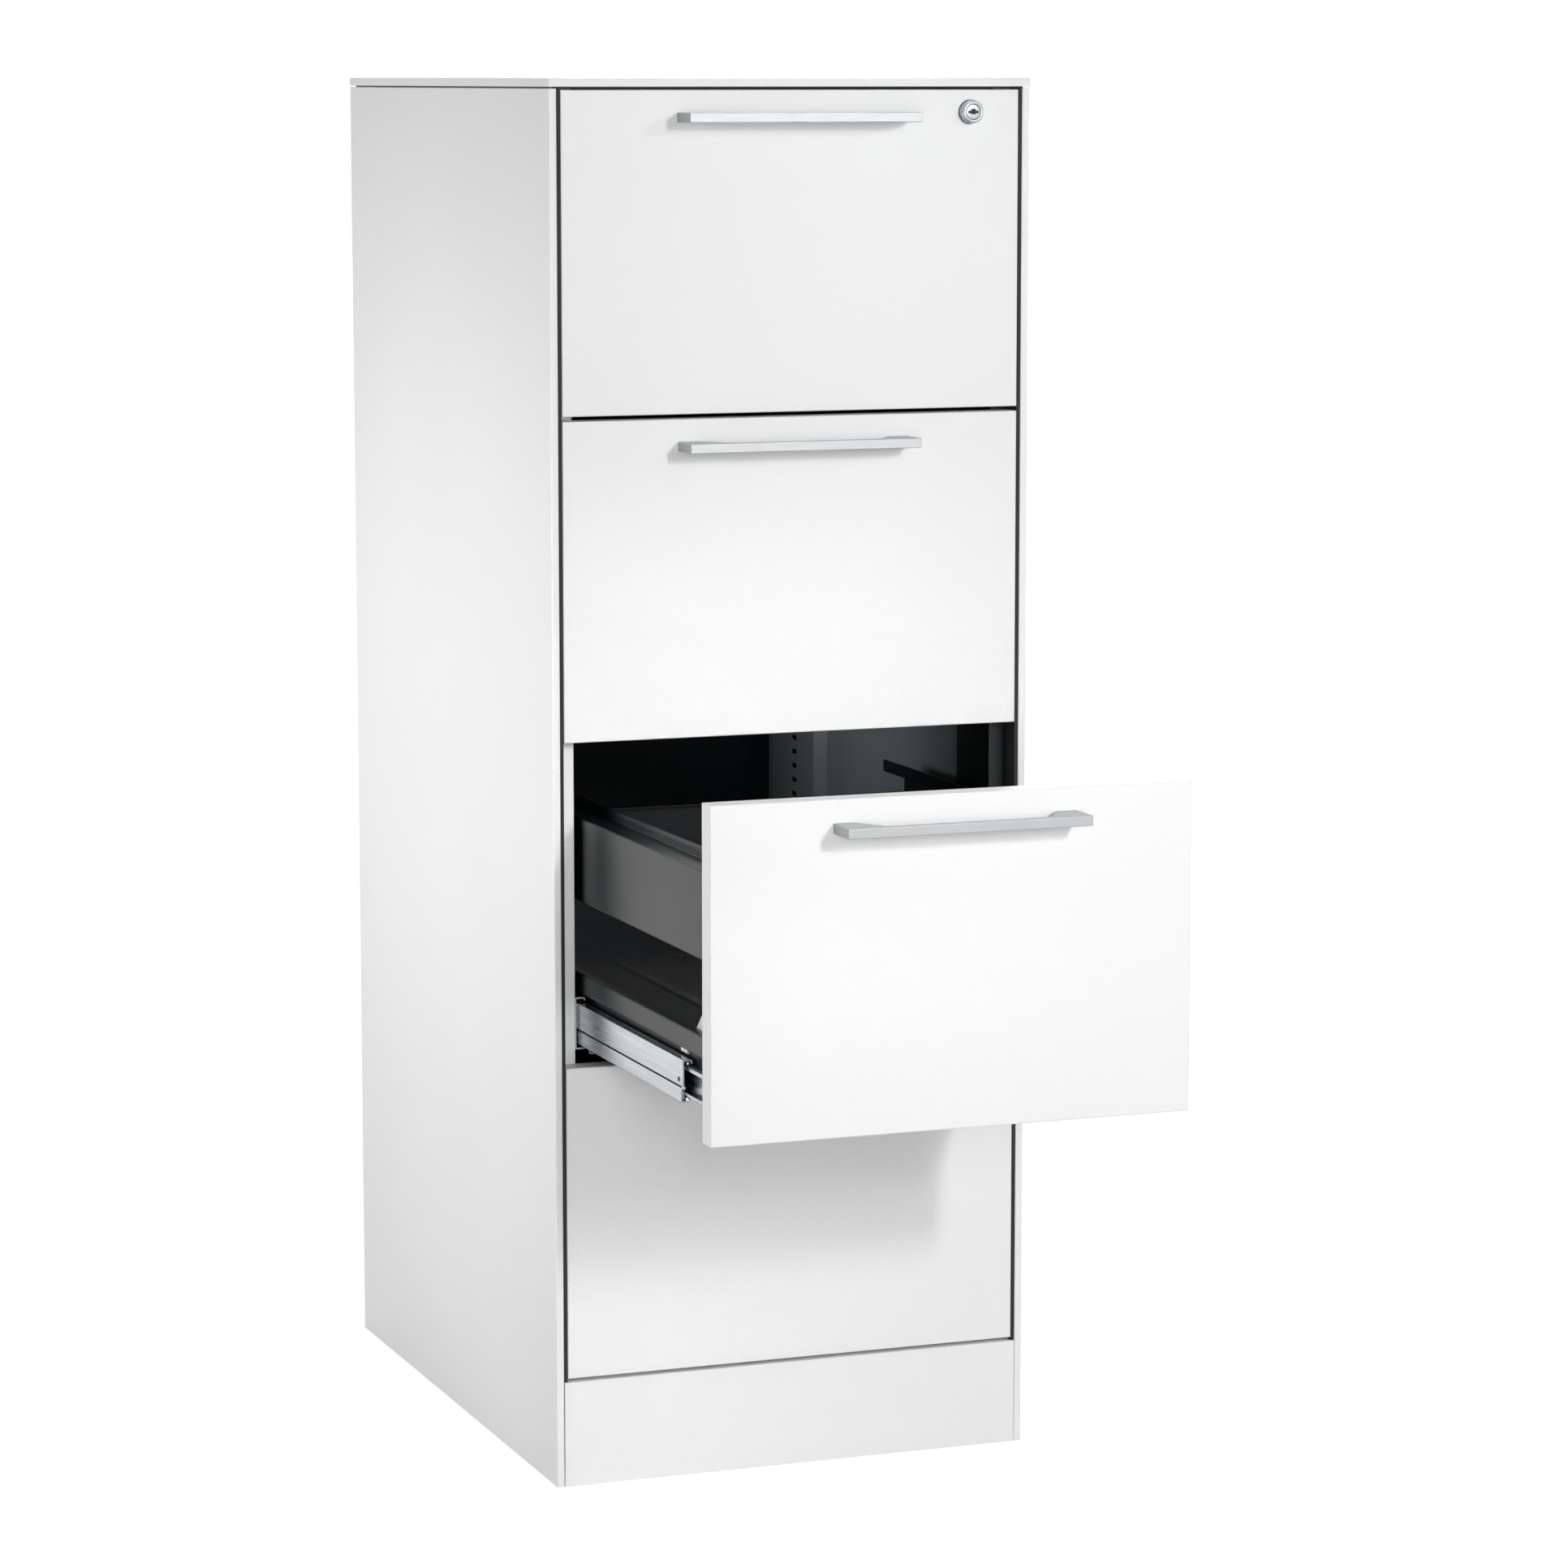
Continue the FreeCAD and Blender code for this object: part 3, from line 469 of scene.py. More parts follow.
class FC_OT_mix_finishes(bpy.types.Operator):
    """Mixes the coats, metals and plastics of the cabinet"""

    bl_idname = "cabinet.mix_finishes"
    bl_label = "Mix finishes"

    def execute(self, context):
        finish = context.scene.cabinet.finish
        # White polyester powder coat, baked: satin, slightly cool, with a faint orange peel.
        # The peel of about 1.5 mm is drawn at 2.2 mm here and at 2.0 mm on the dark coats, so that it shows.
        powder_coat("white_polyester_coat", "#F3F4F3", "#F0F1F0", "#F8F8F7", finish.white_roughness,
                    peel_mm=2.2, peel_height_mm=0.03, edge_mm=0.7)
        # The same kind of coat in anthracite, a little glossier, with fold edges painted paler, partly as
        # wear and partly as a painted highlight.
        powder_coat("anthracite_polyester_coat", "#0E1317", "#0B1013", "#38434A", finish.dark_roughness,
                    peel_mm=2.0, peel_height_mm=0.03, edge_mm=0.6, specular=0.32)
        # A paler grey coat on the inner side sheets and the perforated posts.
        powder_coat("grey_polyester_coat", "#565B5E", "#505558", "#70777A", finish.dark_roughness,
                    peel_mm=2.0, peel_height_mm=0.04, edge_mm=0.6, specular=0.35)
        # Cold-rolled strip with bright zinc plate: lines of the rolling along Y, a bluish cast.
        # The lines of about 0.3 mm are drawn at 2.5 mm, because finer ones only flicker in the render.
        drawn_metal("bright_zinc_steel", "#CFD2D6", "#9DA1A6", finish.zinc_roughness,
                    grain_mm=2.5, stretch=(1.0, 0.02, 1.0), bump_mm=0.006)
        # Anodised aluminium bar, brushed along X before anodising: soft streaks, no hard glints.
        # The brush marks of about 0.1 mm are drawn at 0.5 mm, so that the streaks still show.
        drawn_metal("brushed_anodised_aluminium", "#AAACAE", "#8E9093", 0.46,
                    grain_mm=0.5, stretch=(0.02, 1.0, 1.0), bump_mm=0.015)
        # Nickel-plated brass of the lock: smooth and cool, with faint marks of polishing.
        # The marks of the cloth are drawn at 1.2 mm here and at 1.5 mm on the balls, coarser than real.
        drawn_metal("polished_nickel", "#B2B6B9", "#9CA1A5", 0.32,
                    grain_mm=1.2, stretch=(1.0, 0.1, 1.0), bump_mm=0.001)
        # Hardened chrome steel of the balls: mirror-bright.
        drawn_metal("chrome_steel", "#DADADA", "#C2C2C4", 0.10,
                    grain_mm=1.5, stretch=(1.0, 1.0, 1.0), bump_mm=0.001)
        # The grain of the dull skins below is about 0.1 to 0.2 mm and drawn at 0.6 to 0.8 mm, to show.
        # Sheared edges of the plated strip: dull, without lines, and painted pale as a highlight, so that
        # the cut rail ends read bright in the shade of the open front.
        dull_skin("sheared_edge_painted_highlight", "#C6CACD", "#B4B8BB", 0.50, grain_mm=0.8, bump_mm=0.02)
        # Blackened steel of the rivets: dull, nearly black. The same finish fills the key slot as painted
        # shade for the deep slot.
        dull_skin("blackened_steel_and_slot_shade", "#0B0B0C", "#101011", 0.60, grain_mm=0.6, bump_mm=0.01)
        # White acetal of the release clips: slightly milky and waxy.
        dull_skin("white_acetal", "#F1F0EB", "#E9E8E2", 0.38, grain_mm=0.6, bump_mm=0.01)
        # Black nylon of the feet: dull, with moulding grain.
        dull_skin("grained_black_nylon", "#1B1B1C", "#232425", 0.55, grain_mm=0.8, bump_mm=0.03)
        # Black seal rubber: matt, nearly without highlights.
        dull_skin("seal_rubber", "#161717", "#1C1D1D", 0.75, grain_mm=0.7, bump_mm=0.02)
        return {"FINISHED"}


class FC_OT_coat_nodes(bpy.types.Operator):
    """Gives each construction piece the finish of its material slot"""

    bl_idname = "cabinet.coat_nodes"
    bl_label = "Coat the construction"

    def execute(self, context):
        for entry in frame["record"]["subparts"]:
            name = entry["node"]
            node = frame["nodes"][name]
            finish = FINISH_OF_SLOT[entry["material_slot"]]
            if name in GREY_NODES:
                finish = "grey_polyester_coat"
            node.data.materials.clear()
            node.data.materials.append(material_named(finish))
        return {"FINISHED"}


class FC_OT_add_drawer_bodies(bpy.types.Operator):
    """Makes the folded trays and side rails of the drawers"""

    bl_idname = "cabinet.add_drawer_bodies"
    bl_label = "Add drawer bodies"

    def execute(self, context):
        for number in DRAWERS:
            name = "drawer_%d_" % number
            body = "drawer_%d" % number
            coat = material_named("anthracite_polyester_coat")
            piece(name + "folded_tray", self.tray(number), coat, body,
                  [name + "tray"])
            piece(name + "folded_rails", self.rails(number), coat, body,
                  [name + "file_rails"])
        return {"FINISHED"}

    def tray(self, number):
        """Floor with rounded beads, and two skirts rolled into a rim."""
        z = front_bottom(number)
        y0, y1 = span("drawer_%d_tray" % number, 1)
        rim = span("drawer_%d_tray" % number, 0)[1]
        skirt = -span("drawer_1_slide_fixed", 0)[0] - SLIDE_DEPTH
        inner = rim - 9.0
        hem_foot = z + 66.0
        rim_top = z + 74.0
        rim_foot = z + 56.0
        skirt_foot = z + 14.0
        corners = [
            (-inner, hem_foot), (-inner, rim_top), (-rim, rim_top),
            (-rim, rim_foot), (-skirt, rim_foot), (-skirt, skirt_foot),
        ]
        side = folded_sheet(corners, SKIN, y0, y1, radius=1.3)
        floor = self.floor(skirt - SKIN, y0, y1, z + 50.0)
        return joined(side, mirrored(side), floor)

    def floor(self, half, y0, y1, top):
        """Floor sheet with two shallow stiffening beads along Y.

        The height is top minus a bead depth times a raised cosine across each bead.
        """
        depth = 1.2
        width = 9.0
        bead_x = 95.0
        xs = np.unique(np.concatenate([[-half, half], *[np.linspace(c - width, c + width, 13)
                                                       for c in (-bead_x, bead_x)]]))
        away = np.abs(np.abs(xs) - bead_x) / width
        drop = np.where(away < 1, depth * (1 + np.cos(math.pi * away)) / 2, 0)
        outline = np.stack([xs, top - drop], axis=1)
        below = outline[::-1] - [0, SKIN]
        ring = np.concatenate([outline, below])
        count = len(xs)
        verts = np.zeros((2, len(ring), 3))
        verts[:, :, 0] = ring[:, 0]
        verts[:, :, 2] = ring[:, 1]
        verts[0, :, 1] = y0
        verts[1, :, 1] = y1
        walls = grid_faces(2, len(ring), closed=True)
        index = np.arange(count - 1)
        cap = np.stack([index, index + 1, 2 * count - 2 - index, 2 * count - 1 - index], axis=1)
        return verts.reshape(-1, 3), np.concatenate([walls, cap, cap[:, ::-1] + len(ring)])

    def rails(self, number):
        """Side rails: hook edge with its hem, shelf, deep band and lower hem."""
        z = front_bottom(number)
        y0, y1 = span("drawer_%d_file_rails" % number, 1)
        rim = span("drawer_%d_file_rails" % number, 0)[1]
        hook = 166.0
        hook_top = z + 218.0
        shelf = z + 208.0
        band_foot = z + 135.5
        corners = [
            (-hook, hook_top), (-hook, shelf), (-rim, shelf), (-rim, band_foot), (-rim + 7.0, band_foot),
        ]
        rail = folded_sheet(corners, SKIN, y0, y1, radius=1.3)
        hem = block((-hook - SKIN, -hook), (y0, y1), (hook_top - 5.0, hook_top), 0.3)
        return joined(rail, hem, mirrored(rail), mirrored(hem))


class FC_OT_add_slides(bpy.types.Operator):
    """Makes the rolled rails, ball cages and balls of the slides"""

    bl_idname = "cabinet.add_slides"
    bl_label = "Add slides"

    def execute(self, context):
        slide = context.scene.cabinet.slide
        zinc = material_named("bright_zinc_steel")
        steel = material_named("chrome_steel")
        cut = material_named("sheared_edge_painted_highlight")
        black = material_named("blackened_steel_and_slot_shade")
        for number in DRAWERS:
            name = "drawer_%d_" % number
            middle = "middle_rails_%d" % number
            piece(name + "rolled_fixed_rails", self.fixed(number), zinc, "cabinet",
                  [name + "slide_fixed"])
            piece(name + "rolled_middle_rails", self.middle(number), zinc, middle,
                  [name + "slide_middle"])
            piece(name + "rolled_inner_rails", self.inner(number), zinc, "drawer_%d" % number,
                  [name + "slide_inner"])
            piece(name + "balls", self.balls(number, slide), steel, middle, smooth=60)
            piece(name + "guide_channels", self.guide(number), zinc, "cabinet")
            # The cut ends of the rails get the pale sheared-edge finish, a painted highlight.
            piece(name + "fixed_rail_ends", self.fixed_end(number), cut, "cabinet")
            piece(name + "middle_rail_ends", self.middle_end(number), cut, middle)
            piece(name + "stop_rivets", self.rivets(number), black, middle)
        return {"FINISHED"}

    def wall(self):
        """Distance of the fixed rails' outer faces from the middle plane."""
        return -span("drawer_1_slide_fixed", 0)[0]

    def placed(self, path, number):
        """A path in u, from the left wall inward, and v, from the slide's middle height, as X and Z."""
        z = front_bottom(number) + SLIDE_HEIGHT
        return [(-self.wall() + u, z + v) for u, v in path]

    def both(self, part):
        """The left part with its mirror image on the right."""
        return joined(part, mirrored(part))

    def fixed_path(self, number, flare=0.0):
        """The fixed rail's C with its ball lips; flare moves the web off the wall."""
        half = 22.5
        u = 10.2
        lip = 2.7
        path = [(u, half - lip), (u, half), (flare, half), (flare, -half), (u, -half), (u, -half + lip)]
        return self.placed(path, number)

    def fixed(self, number):
        """The pair of fixed rails on the carcass."""
        y0, y1 = span("drawer_%d_slide_fixed" % number, 1)
        return self.both(folded_sheet(self.fixed_path(number), SLIDE_SHEET, y0, y1, radius=1.2))

    def guide_path(self, number):
        """The channel's U below the slide, with unequal legs."""
        near = 13.6
        far = 24.6
        foot = -27.5
        return self.placed([(near, foot + 6.0), (near, foot), (far, foot), (far, foot + 3.0)], number)

    def guide(self, number):
        """Shallow channel below the slide, which stiffens the bay's side."""
        y0, y1 = span("drawer_%d_slide_fixed" % number, 1)
        return self.both(folded_sheet(self.guide_path(number), SKIN, y0, y1, radius=0.8))

    def fixed_end(self, number):
        """Sheared front edges of the fixed rail, sprung a little off the wall, and of the channel below."""
        y0 = span("drawer_%d_slide_fixed" % number, 1)[0]
        rail = folded_sheet(self.fixed_path(number, 0.9), SLIDE_SHEET, y0 - CUT_END, y0, radius=1.2)
        channel = folded_sheet(self.guide_path(number), SKIN, y0 - CUT_END, y0, radius=0.8)
        return self.both(joined(rail, channel))

    def middle_paths(self, number):
        """Upper band with its groove, and the lower band, which lies deeper."""
        half = 18.0
        u0 = 2.2
        u1 = 10.6
        lip = 3.4
        groove = 1.1
        step = 0.8
        upper = [
            (u1, half - lip), (u1, half), (u0, half), (u0, -3.6), (u0 + groove, -4.4), (u0 + groove, -6.2),
        ]
        lower = [
            (u0 + groove, -4.6), (u0 + groove, -6.0), (u0 + step, -6.8),
            (u0 + step, -half), (u1, -half), (u1, -half + lip),
        ]
        return self.placed(upper, number), self.placed(lower, number)

    def middle(self, number):
        """Rolled rail, whose lower band ends further back, with its two ball cages."""
        y0, y1 = span("drawer_%d_slide_middle" % number, 1)
        y0 += MIDDLE_SETBACK
        upper, lower = self.middle_paths(number)
        rail = joined(
            folded_sheet(upper, SLIDE_SHEET, y0, y1, radius=0.5),
            folded_sheet(lower, SLIDE_SHEET, y0 + BAND_SETBACK, y1, radius=0.5),
        )
        rear = self.cage(number, web=1.45, lips=8.4, half=19.85, y0=y1 - CAGE_LENGTH - CAGE_MARGIN)
        front = self.cage(number, web=4.6, lips=9.0, half=14.9, y0=y0 + CAGE_MARGIN)
        return self.both(joined(rail, rear, front))

    def middle_end(self, number):
        """Sheared front edges of the middle rail."""
        y0 = span("drawer_%d_slide_middle" % number, 1)[0] + MIDDLE_SETBACK
        upper, lower = self.middle_paths(number)
        return self.both(joined(
            folded_sheet(upper, SLIDE_SHEET, y0 - CUT_END, y0, radius=0.5),
            folded_sheet(lower, SLIDE_SHEET, y0 + BAND_SETBACK - CUT_END, y0 + BAND_SETBACK, radius=0.5),
        ))

    def rivets(self, number):
        """Hollow stop rivets on the web, near the front end of the middle rail."""
        y0 = span("drawer_%d_slide_middle" % number, 1)[0] + MIDDLE_SETBACK
        z = front_bottom(number) + SLIDE_HEIGHT
        profile = [
            (0, -0.4), (1.0, -0.4), (1.1, 0.3), (1.6, 0.45), (2.0, 0.3), (2.1, 0.0), (2.1, -0.8), (0, -0.8),
        ]
        rivet = turned_body(profile, (-self.wall() + 2.2, y0 + 9.0, z + 1.0), 24, way=(-1, 0, 0))
        return self.both(rivet)

    def cage(self, number, web, lips, half, y0):
        """One ball cage: a thin C between two rails, with the places of its web and its lips along u."""
        path = [(lips, half), (web, half), (web, -half), (lips, -half)]
        return folded_sheet(self.placed(path, number), CAGE_SHEET, y0, y0 + CAGE_LENGTH, radius=0.6)

    def inner(self, number):
        """The pair of drawer rails, whose webs lie on the tray's skirts."""
        half = 12.5
        u0 = 5.6
        u1 = 12.7
        lip = 3.0
        path = [
            (u0, -half + lip), (u0, -half), (u1, -half),
            (u1, half), (u0, half), (u0, half - lip),
        ]
        y0, y1 = span("drawer_%d_slide_inner" % number, 1)
        return self.both(folded_sheet(self.placed(path, number), SLIDE_SHEET, y0, y1, radius=1.0))

    def balls(self, number, slide):
        """Two rows of balls above and below each member, at the places that the cages hold."""
        y0, y1 = span("drawer_%d_slide_middle" % number, 1)
        z = front_bottom(number) + SLIDE_HEIGHT
        steps = np.arange(5.0, CAGE_LENGTH, slide.ball_pitch / MM)
        rows = []
        for radius, u, v, start in (
            (slide.ball_outer / MM, 6.4, 19.65, y1 - CAGE_LENGTH - CAGE_MARGIN),
            (slide.ball_inner / MM, 7.4, 14.65, y0 + CAGE_MARGIN),
        ):
            verts, faces = turned_body(ball_profile(radius), (0, 0, 0), segments=12)
            places = [(side * (-self.wall() + u), start + step, z + way * v)
                      for side in SIDES for way in SIDES for step in steps]
            rows.append(repeated(verts, faces, places))
        return joined(*rows)


class FC_OT_add_trim(bpy.types.Operator):
    """Makes the seals, linings, lock parts, rivets, screws, release clips and brackets of the fronts"""

    bl_idname = "cabinet.add_trim"
    bl_label = "Add trim"

    def execute(self, context):
        rubber = material_named("seal_rubber")
        dark = material_named("anthracite_polyester_coat")
        nickel = material_named("polished_nickel")
        zinc = material_named("bright_zinc_steel")
        white = material_named("white_polyester_coat")
        acetal = material_named("white_acetal")
        black = material_named("blackened_steel_and_slot_shade")
        piece("edge_seals", self.seals(), rubber, "cabinet")
        piece("back_lining", self.back_lining(), dark, "cabinet")
        # Painted shade: a dark strip over the right front post.
        piece("right_post_painted_shade", self.right_post_shade_strip(), dark, "cabinet")
        piece("turned_lock_housing", self.lock_head(), nickel, "cabinet",
              ["lock_housing"])
        piece("slotted_lock_plug", self.plug(), nickel, "lock_plug", ["lock_plug"])
        # Painted shade: a dark plate a little below the plug's face fills the key slot.
        piece("key_slot_painted_shade", self.slot_shade_plate(), black, "lock_plug")
        piece("back_rivets", self.back_rivets(), zinc, "cabinet")
        for number in DRAWERS:
            body = "drawer_%d" % number
            piece(body + "_handle_screws", self.screws(number), zinc, body)
            piece(body + "_release_clips", self.clips(number), acetal, body)
            piece(body + "_front_brackets", self.brackets(number), white, body)
        return {"FINISHED"}

    def seals(self):
        """Rubber lips on the inner edges of both hems."""
        hem = -209.9
        z0 = span("plinth_front", 2)[1]
        z1 = span("side_panel_left", 2)[1]
        y0 = span("side_panel_left", 1)[0] + 1.2
        seal = block((hem, hem + 3.2), (y0, y0 + 19.0), (z0, z1), 0.4)
        return joined(seal, mirrored(seal))

    def back_lining(self):
        """Thin dark sheet on the inner face of the back."""
        y1 = span("back_panel", 1)[0] - 0.1
        z0, z1 = span("side_lining_left", 2)
        x = span("side_lining_right", 0)[0] - 0.5
        return block((-x, x), (y1 - 0.8, y1), (z0 + 1.0, z1 - 1.0))

    def back_rivets(self):
        """Blind rivets with a hollow middle along both edges of the back."""
        y1 = span("back_panel", 1)[1]
        x = span("back_panel", 0)[1] - 9.0
        z0, z1 = span("back_panel", 2)
        profile = [
            (0, 0.2), (1.1, 0.2), (1.3, 0.85), (2.0, 0.8), (3.0, 0.45), (3.3, 0.0), (3.3, -0.6), (0, -0.6),
        ]
        verts, faces = turned_body(profile, (0, y1, 0), 24, way=(0, 1, 0))
        places = [(side * x, 0, z) for side in SIDES for z in np.linspace(z0 + 40.0, z1 - 20.0, 6)]
        return repeated(verts, faces, places)

    def screws(self, number):
        """Pan-head screws of the handle, seen through the openings behind the front."""
        y0, y1 = span("drawer_%d_front" % number, 1)
        z0, z1 = span("drawer_%d_handle" % number, 2)
        profile = [
            (0, 1.0), (1.6, 1.0), (1.8, 2.6), (3.2, 2.3), (4.2, 1.2), (4.2, 0.0), (2.0, 0.0), (2.0, -0.4),
            (0, -0.4),
        ]
        half_spacing = 96.0
        head = turned_body(profile, (half_spacing, y0 + SKIN, (z0 + z1) / 2), 32, way=(0, 1, 0))
        return joined(head, mirrored(head))

    def right_post_shade_strip(self):
        """Dark strip over the right front post, on the side of the locking bar: painted shade for the post,
        which lies in shadow there, while the left post stays white.
        """
        x0 = span("front_post_right", 0)[0]
        y1 = span("front_post_right", 1)[0] - SKIN
        z0, z1 = span("front_post_right", 2)
        return block((x0 - 0.2, x0 + 19.6), (y1 - 0.4, y1 - 0.05), (z0 + 3.0, z1 - 9.0))

    def lock_centre(self):
        """X and Z of the lock's axis."""
        low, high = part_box("lock_plug")
        return (low[0] + high[0]) / 2 / MM, (low[2] + high[2]) / 2 / MM

    def lock_head(self):
        """Turned housing: bore, rounded inner lip, flat face, bevel, barrel and collar."""
        x, z = self.lock_centre()
        y0, y1 = span("lock_housing", 1)
        face = -y0
        back = -y1
        profile = [
            (6.7, back), (6.7, face - 0.7), (6.8, face - 0.3), (7.1, face - 0.06), (7.4, face),
            (8.0, face), (8.2, face - 0.06), (9.3, face - 1.1), (9.6, face - 1.45), (9.75, face - 1.9),
            (9.75, back + 3.0), (12.0, back + 3.0), (12.0, back), (6.7, back),
        ]
        return turned_body(profile, (x, 0, z), 96)

    def slot_reach(self, angle):
        """Distance from the centre to the slot's edge: the far side of the blade's box or the ridge's."""
        way = np.stack([np.cos(angle), np.sin(angle)])
        reach = []
        for half, low, high in ((4.7, 1.25, 1.05), (2.1, 2.1, 2.6)):
            across = half / np.maximum(np.abs(way[0]), 1e-6)
            along = np.where(way[1] > 0, high, low) / np.maximum(np.abs(way[1]), 1e-6)
            reach.append(np.minimum(across, along))
        return np.maximum(*reach)

    def plug(self):
        """Plug face with a key slot, and the square tail that carries the cam.

        Ring i lies at its own depth; each point's radius is either fixed or the slot's reach at its angle.
        """
        x, z = self.lock_centre()
        y0 = span("lock_plug", 1)[0]
        y1 = span("lock_cam", 1)[0]
        count = 192
        angle = np.linspace(0, 2 * math.pi, count, endpoint=False)
        slot = self.slot_reach(angle)
        full = np.ones(count)
        rings = [
            (0 * full, y0 + 5.0), (slot, y0 + 5.0), (slot, y0 + 0.15), (slot + 0.15, y0), (5.9 * full, y0),
            (6.25 * full, y0 + 0.12), (6.5 * full, y0 + 0.5), (6.5 * full, y1), (0 * full, y1),
        ]
        verts = [np.stack([x + r * np.cos(angle), y + 0 * angle, z + r * np.sin(angle)], axis=1)
                 for r, y in rings]
        body = (np.concatenate(verts), grid_faces(len(rings), count, closed=True))
        tail = block((x - 2.9, x + 2.9), (y1 - 0.5, span("lock_plug", 1)[1]), (z - 2.9, z + 2.9), 0.3)
        return joined(body, tail)

    def slot_shade_plate(self):
        """Dark plate that fills the key slot a little below the plug's face: painted shade for the deep
        slot.
        """
        x, z = self.lock_centre()
        y0 = span("lock_plug", 1)[0] + 0.35
        count = 96
        angle = np.linspace(0, 2 * math.pi, count, endpoint=False)
        reach = self.slot_reach(angle) + 0.2
        outline = np.stack([x + reach * np.cos(angle), z + reach * np.sin(angle)], axis=1)
        return pushed(outline, y0, y0 + 1.0)

    def clips(self, number):
        """Release levers above the drawer rails: a flat finger with its outer edges cut."""
        z = front_bottom(number) + SLIDE_HEIGHT
        y0 = span("drawer_%d_slide_inner" % number, 1)[0] + 106.0
        x = span("drawer_1_slide_fixed", 0)[0] + SLIDE_DEPTH
        outline = [
            (x, z + 20.0), (x, z + 26.0), (x - 1.2, z + 26.0), (x - 2.1, z + 25.0), (x - 2.1, z + 20.8),
            (x - 1.4, z + 20.0),
        ]
        clip = pushed(outline, y0, y0 + 15.0)
        return joined(clip, mirrored(clip))

    def brackets(self, number):
        """Triangular plates that tie the tray's rims to the front."""
        z = front_bottom(number) + 67.0
        y0 = span("drawer_%d_front" % number, 1)[1]
        depth = 94.0
        height = 92.0
        x0 = -span("drawer_%d_tray" % number, 0)[1] + 9.1
        corners = ((0, 0), (depth, 0), (depth, 7.0), (4.0, height), (0, height))
        verts = [(x, y0 + dy, z + dz) for x in (x0, x0 + SKIN) for dy, dz in corners]
        count = len(corners)
        walls = grid_faces(2, count, closed=True).tolist()
        plate = (np.array(verts), walls + [list(range(count))[::-1], list(range(count, 2 * count))])
        return joined(plate, mirrored(plate))


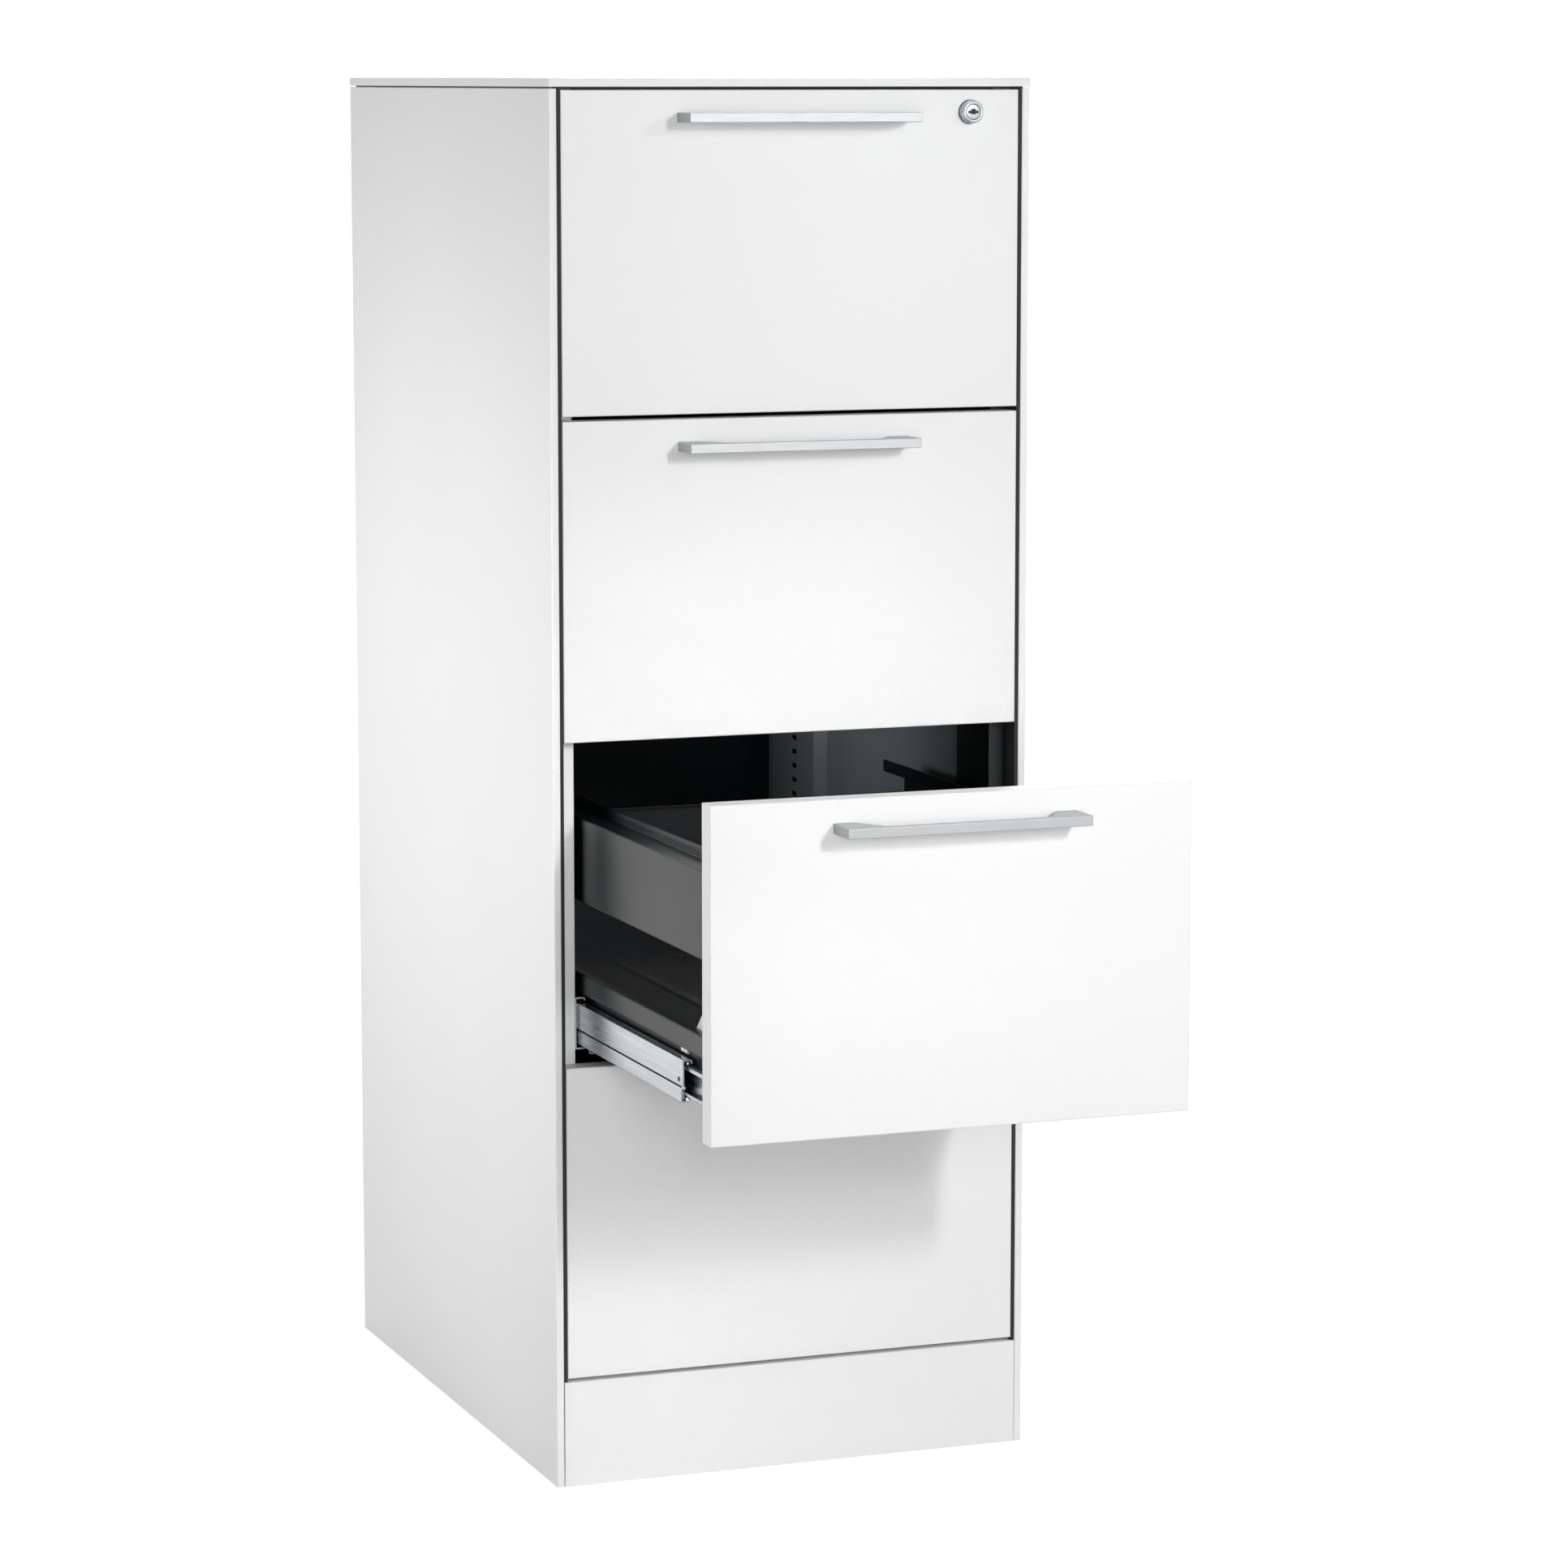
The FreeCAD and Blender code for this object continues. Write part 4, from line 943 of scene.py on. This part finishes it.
class FC_OT_set_stage(bpy.types.Operator):
    """Sets the floor, the white room, the lamps and the camera"""

    bl_idname = "cabinet.set_stage"
    bl_label = "Set the stage"

    def execute(self, context):
        stage = context.scene.cabinet.stage
        context.scene.view_settings.view_transform = "Standard"
        self.room(context, stage.ambient)
        self.floor()
        power = stage.lamp_power
        # Two small key lamps stand on the right and throw the shadow of the open drawer down and left.
        self.lamp("key_lamp", (0.8, -3.6, 1.9), (0.1, -0.3, 0.45), (0.14, 0.3), 2.9 * power, 60.0)
        self.lamp("low_key_lamp", (0.85, -3.6, 1.6), (0.15, -0.3, 0.55), (0.3, 0.6), 1.22 * power, 40.0)
        self.lamp("front_fill", (-1.0, -4.0, 1.0), (0.0, -0.3, 0.60), (0.8, 1.2), 40.0 * power)
        # Narrow lamps lift the fronts above the open drawer, the plinth, the open front and the top front.
        self.lamp("middle_strip", (0.0, -3.0, 1.9), (-0.05, -0.3, 0.66), (0.45, 0.05), 0.115 * power, 9.0)
        self.lamp("floor_strip", (-1.2, -3.8, 0.3), (-0.2, -0.3, 0.12), (0.4, 0.05), 0.08 * power, 10.0)
        self.lamp("open_strip", (-1.5, -3.8, 0.9), (-0.14, -0.66, 0.50), (0.3, 0.05), 0.03 * power, 7.0)
        self.lamp("lock_strip", (2.6, -3.3, 2.2), (0.1, -0.3, 1.14), (0.1, 0.1), 0.08 * power, 11.0)
        # The left lamp is a long low band, so the side is brightest at its middle.
        self.lamp("left_lamp", (-2.2, 0.1, 0.70), (-0.2, 0.0, 0.68), (1.4, 0.3), 3.65 * power, 60.0)
        self.lamp("right_lamp", (3.2, 0.6, 1.1), (0.2, 0.0, 0.60), (1.4, 1.4), 27.0 * power)
        self.lamp("back_lamp", (1.7, 3.6, 1.4), (0.0, 0.3, 0.60), (1.2, 1.4), 55.0 * power)
        self.lamp("top_lamp", (0.1, 0.5, 3.2), (0.0, 0.15, 1.2), (0.8, 0.8), 3.0 * power, 70.0)
        # A small lamp above the open drawer shows the posts and the lining inside.
        self.lamp("inner_lamp", (-0.05, 0.0, 0.625), (0.2, 0.06, 0.60), (0.25, 0.03), 0.20 * power, 110.0)
        self.camera(context, stage)
        return {"FINISHED"}

    def room(self, context, ambient):
        """White room that the camera, gloss and glass see at full strength and diffuse light dimmer."""
        world = bpy.data.worlds.new("white_room")
        world.use_nodes = True
        tree = world.node_tree
        tree.nodes.clear()
        path = add(tree, "ShaderNodeLightPath")
        seen = add(tree, "ShaderNodeMath", {"operation": "MAXIMUM"},
                   {0: (path, "Is Camera Ray"), 1: (path, "Is Transmission Ray")})
        shown = add(tree, "ShaderNodeMath", {"operation": "MAXIMUM"},
                    {0: (seen, "Value"), 1: (path, "Is Glossy Ray")})
        strength = add(tree, "ShaderNodeMapRange", None,
                       {"Value": (shown, "Value"), "To Min": ambient, "To Max": 1.0})
        light = add(tree, "ShaderNodeBackground", None,
                    {"Color": (1.0, 1.0, 1.0, 1.0), "Strength": (strength, "Result")})
        add(tree, "ShaderNodeOutputWorld", inputs={"Surface": (light, "Background")})
        context.scene.world = world

    def floor(self):
        """Large pale floor that shows white to the camera and keeps a soft shadow."""
        material, tree = new_material("floor_white")
        path = add(tree, "ShaderNodeLightPath")
        seen = add(tree, "ShaderNodeMath", {"operation": "MAXIMUM"},
                   {0: (path, "Is Camera Ray"), 1: (path, "Is Glossy Ray")})
        where = add(tree, "ShaderNodeTexCoord")
        away = add(tree, "ShaderNodeVectorMath", {"operation": "LENGTH"}, {0: (where, "Object")})
        white = add(tree, "ShaderNodeMapRange", None,
                    {"Value": (away, "Value"), "From Min": 0.9, "From Max": 2.4,
                     "To Min": 0.80, "To Max": 1.0})
        share = add(tree, "ShaderNodeMath", {"operation": "MULTIPLY"},
                    {0: (seen, "Value"), 1: (white, "Result")})
        matt = add(tree, "ShaderNodeBsdfDiffuse", None, {"Color": linear("#F4F4F4")})
        glow = add(tree, "ShaderNodeEmission", None, {"Color": (1.0, 1.0, 1.0, 1.0), "Strength": 1.13})
        mixed = add(tree, "ShaderNodeMixShader", None,
                    {"Fac": (share, "Value"), 1: (matt, "BSDF"), 2: (glow, "Emission")})
        add(tree, "ShaderNodeOutputMaterial", inputs={"Surface": (mixed, "Shader")})
        half = 30.0
        mesh = bpy.data.meshes.new("floor")
        mesh.from_pydata([(-half, -half, 0), (half, -half, 0), (half, half, 0), (-half, half, 0)],
                         [], [(0, 1, 2, 3)])
        mesh.materials.append(material)
        floor = bpy.data.objects.new("floor", mesh)
        bpy.context.scene.collection.objects.link(floor)

    def lamp(self, name, place, target, size, power, spread=180.0):
        """Rectangular soft lamp that looks at a target. A small spread keeps its light near its axis."""
        data = bpy.data.lights.new(name, "AREA")
        data.shape = "RECTANGLE"
        data.size, data.size_y = size
        data.energy = power
        data.spread = math.radians(spread)
        lamp = bpy.data.objects.new(name, data)
        lamp.location = place
        away = np.array(place) - np.array(target)
        turn = math.atan2(away[1], away[0]) + math.pi / 2
        tilt = math.acos(away[2] / np.linalg.norm(away))
        lamp.rotation_euler = (tilt, 0, turn)
        bpy.context.scene.collection.objects.link(lamp)

    def camera(self, context, stage):
        """Long lens at the photograph's viewing angle."""
        data = bpy.data.cameras.new("photo_camera")
        data.lens = stage.camera_lens
        data.sensor_width = 36.0
        data.clip_end = 100.0
        camera = bpy.data.objects.new("photo_camera", data)
        camera.location = stage.camera_place
        camera.rotation_euler = (stage.camera_tilt, 0, stage.camera_turn)
        context.scene.collection.objects.link(camera)
        context.scene.camera = camera


class FC_PT_cabinet(bpy.types.Panel):
    """Lists the steps in the sidebar"""

    bl_label = "Filing Cabinet"
    bl_idname = "FC_PT_cabinet"
    bl_space_type = "VIEW_3D"
    bl_region_type = "UI"
    bl_category = "Cabinet"

    def draw(self, context):
        for step in STEPS:
            self.layout.operator(step.bl_idname)


SETTINGS = (FinishSettings, SlideSettings, StageSettings, CabinetSettings)
STEPS = (
    FC_OT_mix_finishes,
    FC_OT_coat_nodes,
    FC_OT_add_drawer_bodies,
    FC_OT_add_slides,
    FC_OT_add_trim,
    FC_OT_set_stage,
)


def register():
    for group in SETTINGS + STEPS + (FC_PT_cabinet,):
        bpy.utils.register_class(group)
    bpy.types.Scene.cabinet = bpy.props.PointerProperty(type=CabinetSettings)


def unregister():
    del bpy.types.Scene.cabinet
    for group in reversed(SETTINGS + STEPS + (FC_PT_cabinet,)):
        bpy.utils.unregister_class(group)


def main():
    """Runs the steps in order."""
    register()
    bpy.ops.cabinet.mix_finishes()
    bpy.ops.cabinet.coat_nodes()
    bpy.ops.cabinet.add_drawer_bodies()
    bpy.ops.cabinet.add_slides()
    bpy.ops.cabinet.add_trim()
    bpy.ops.cabinet.set_stage()


if __name__ == "__main__":
    main()
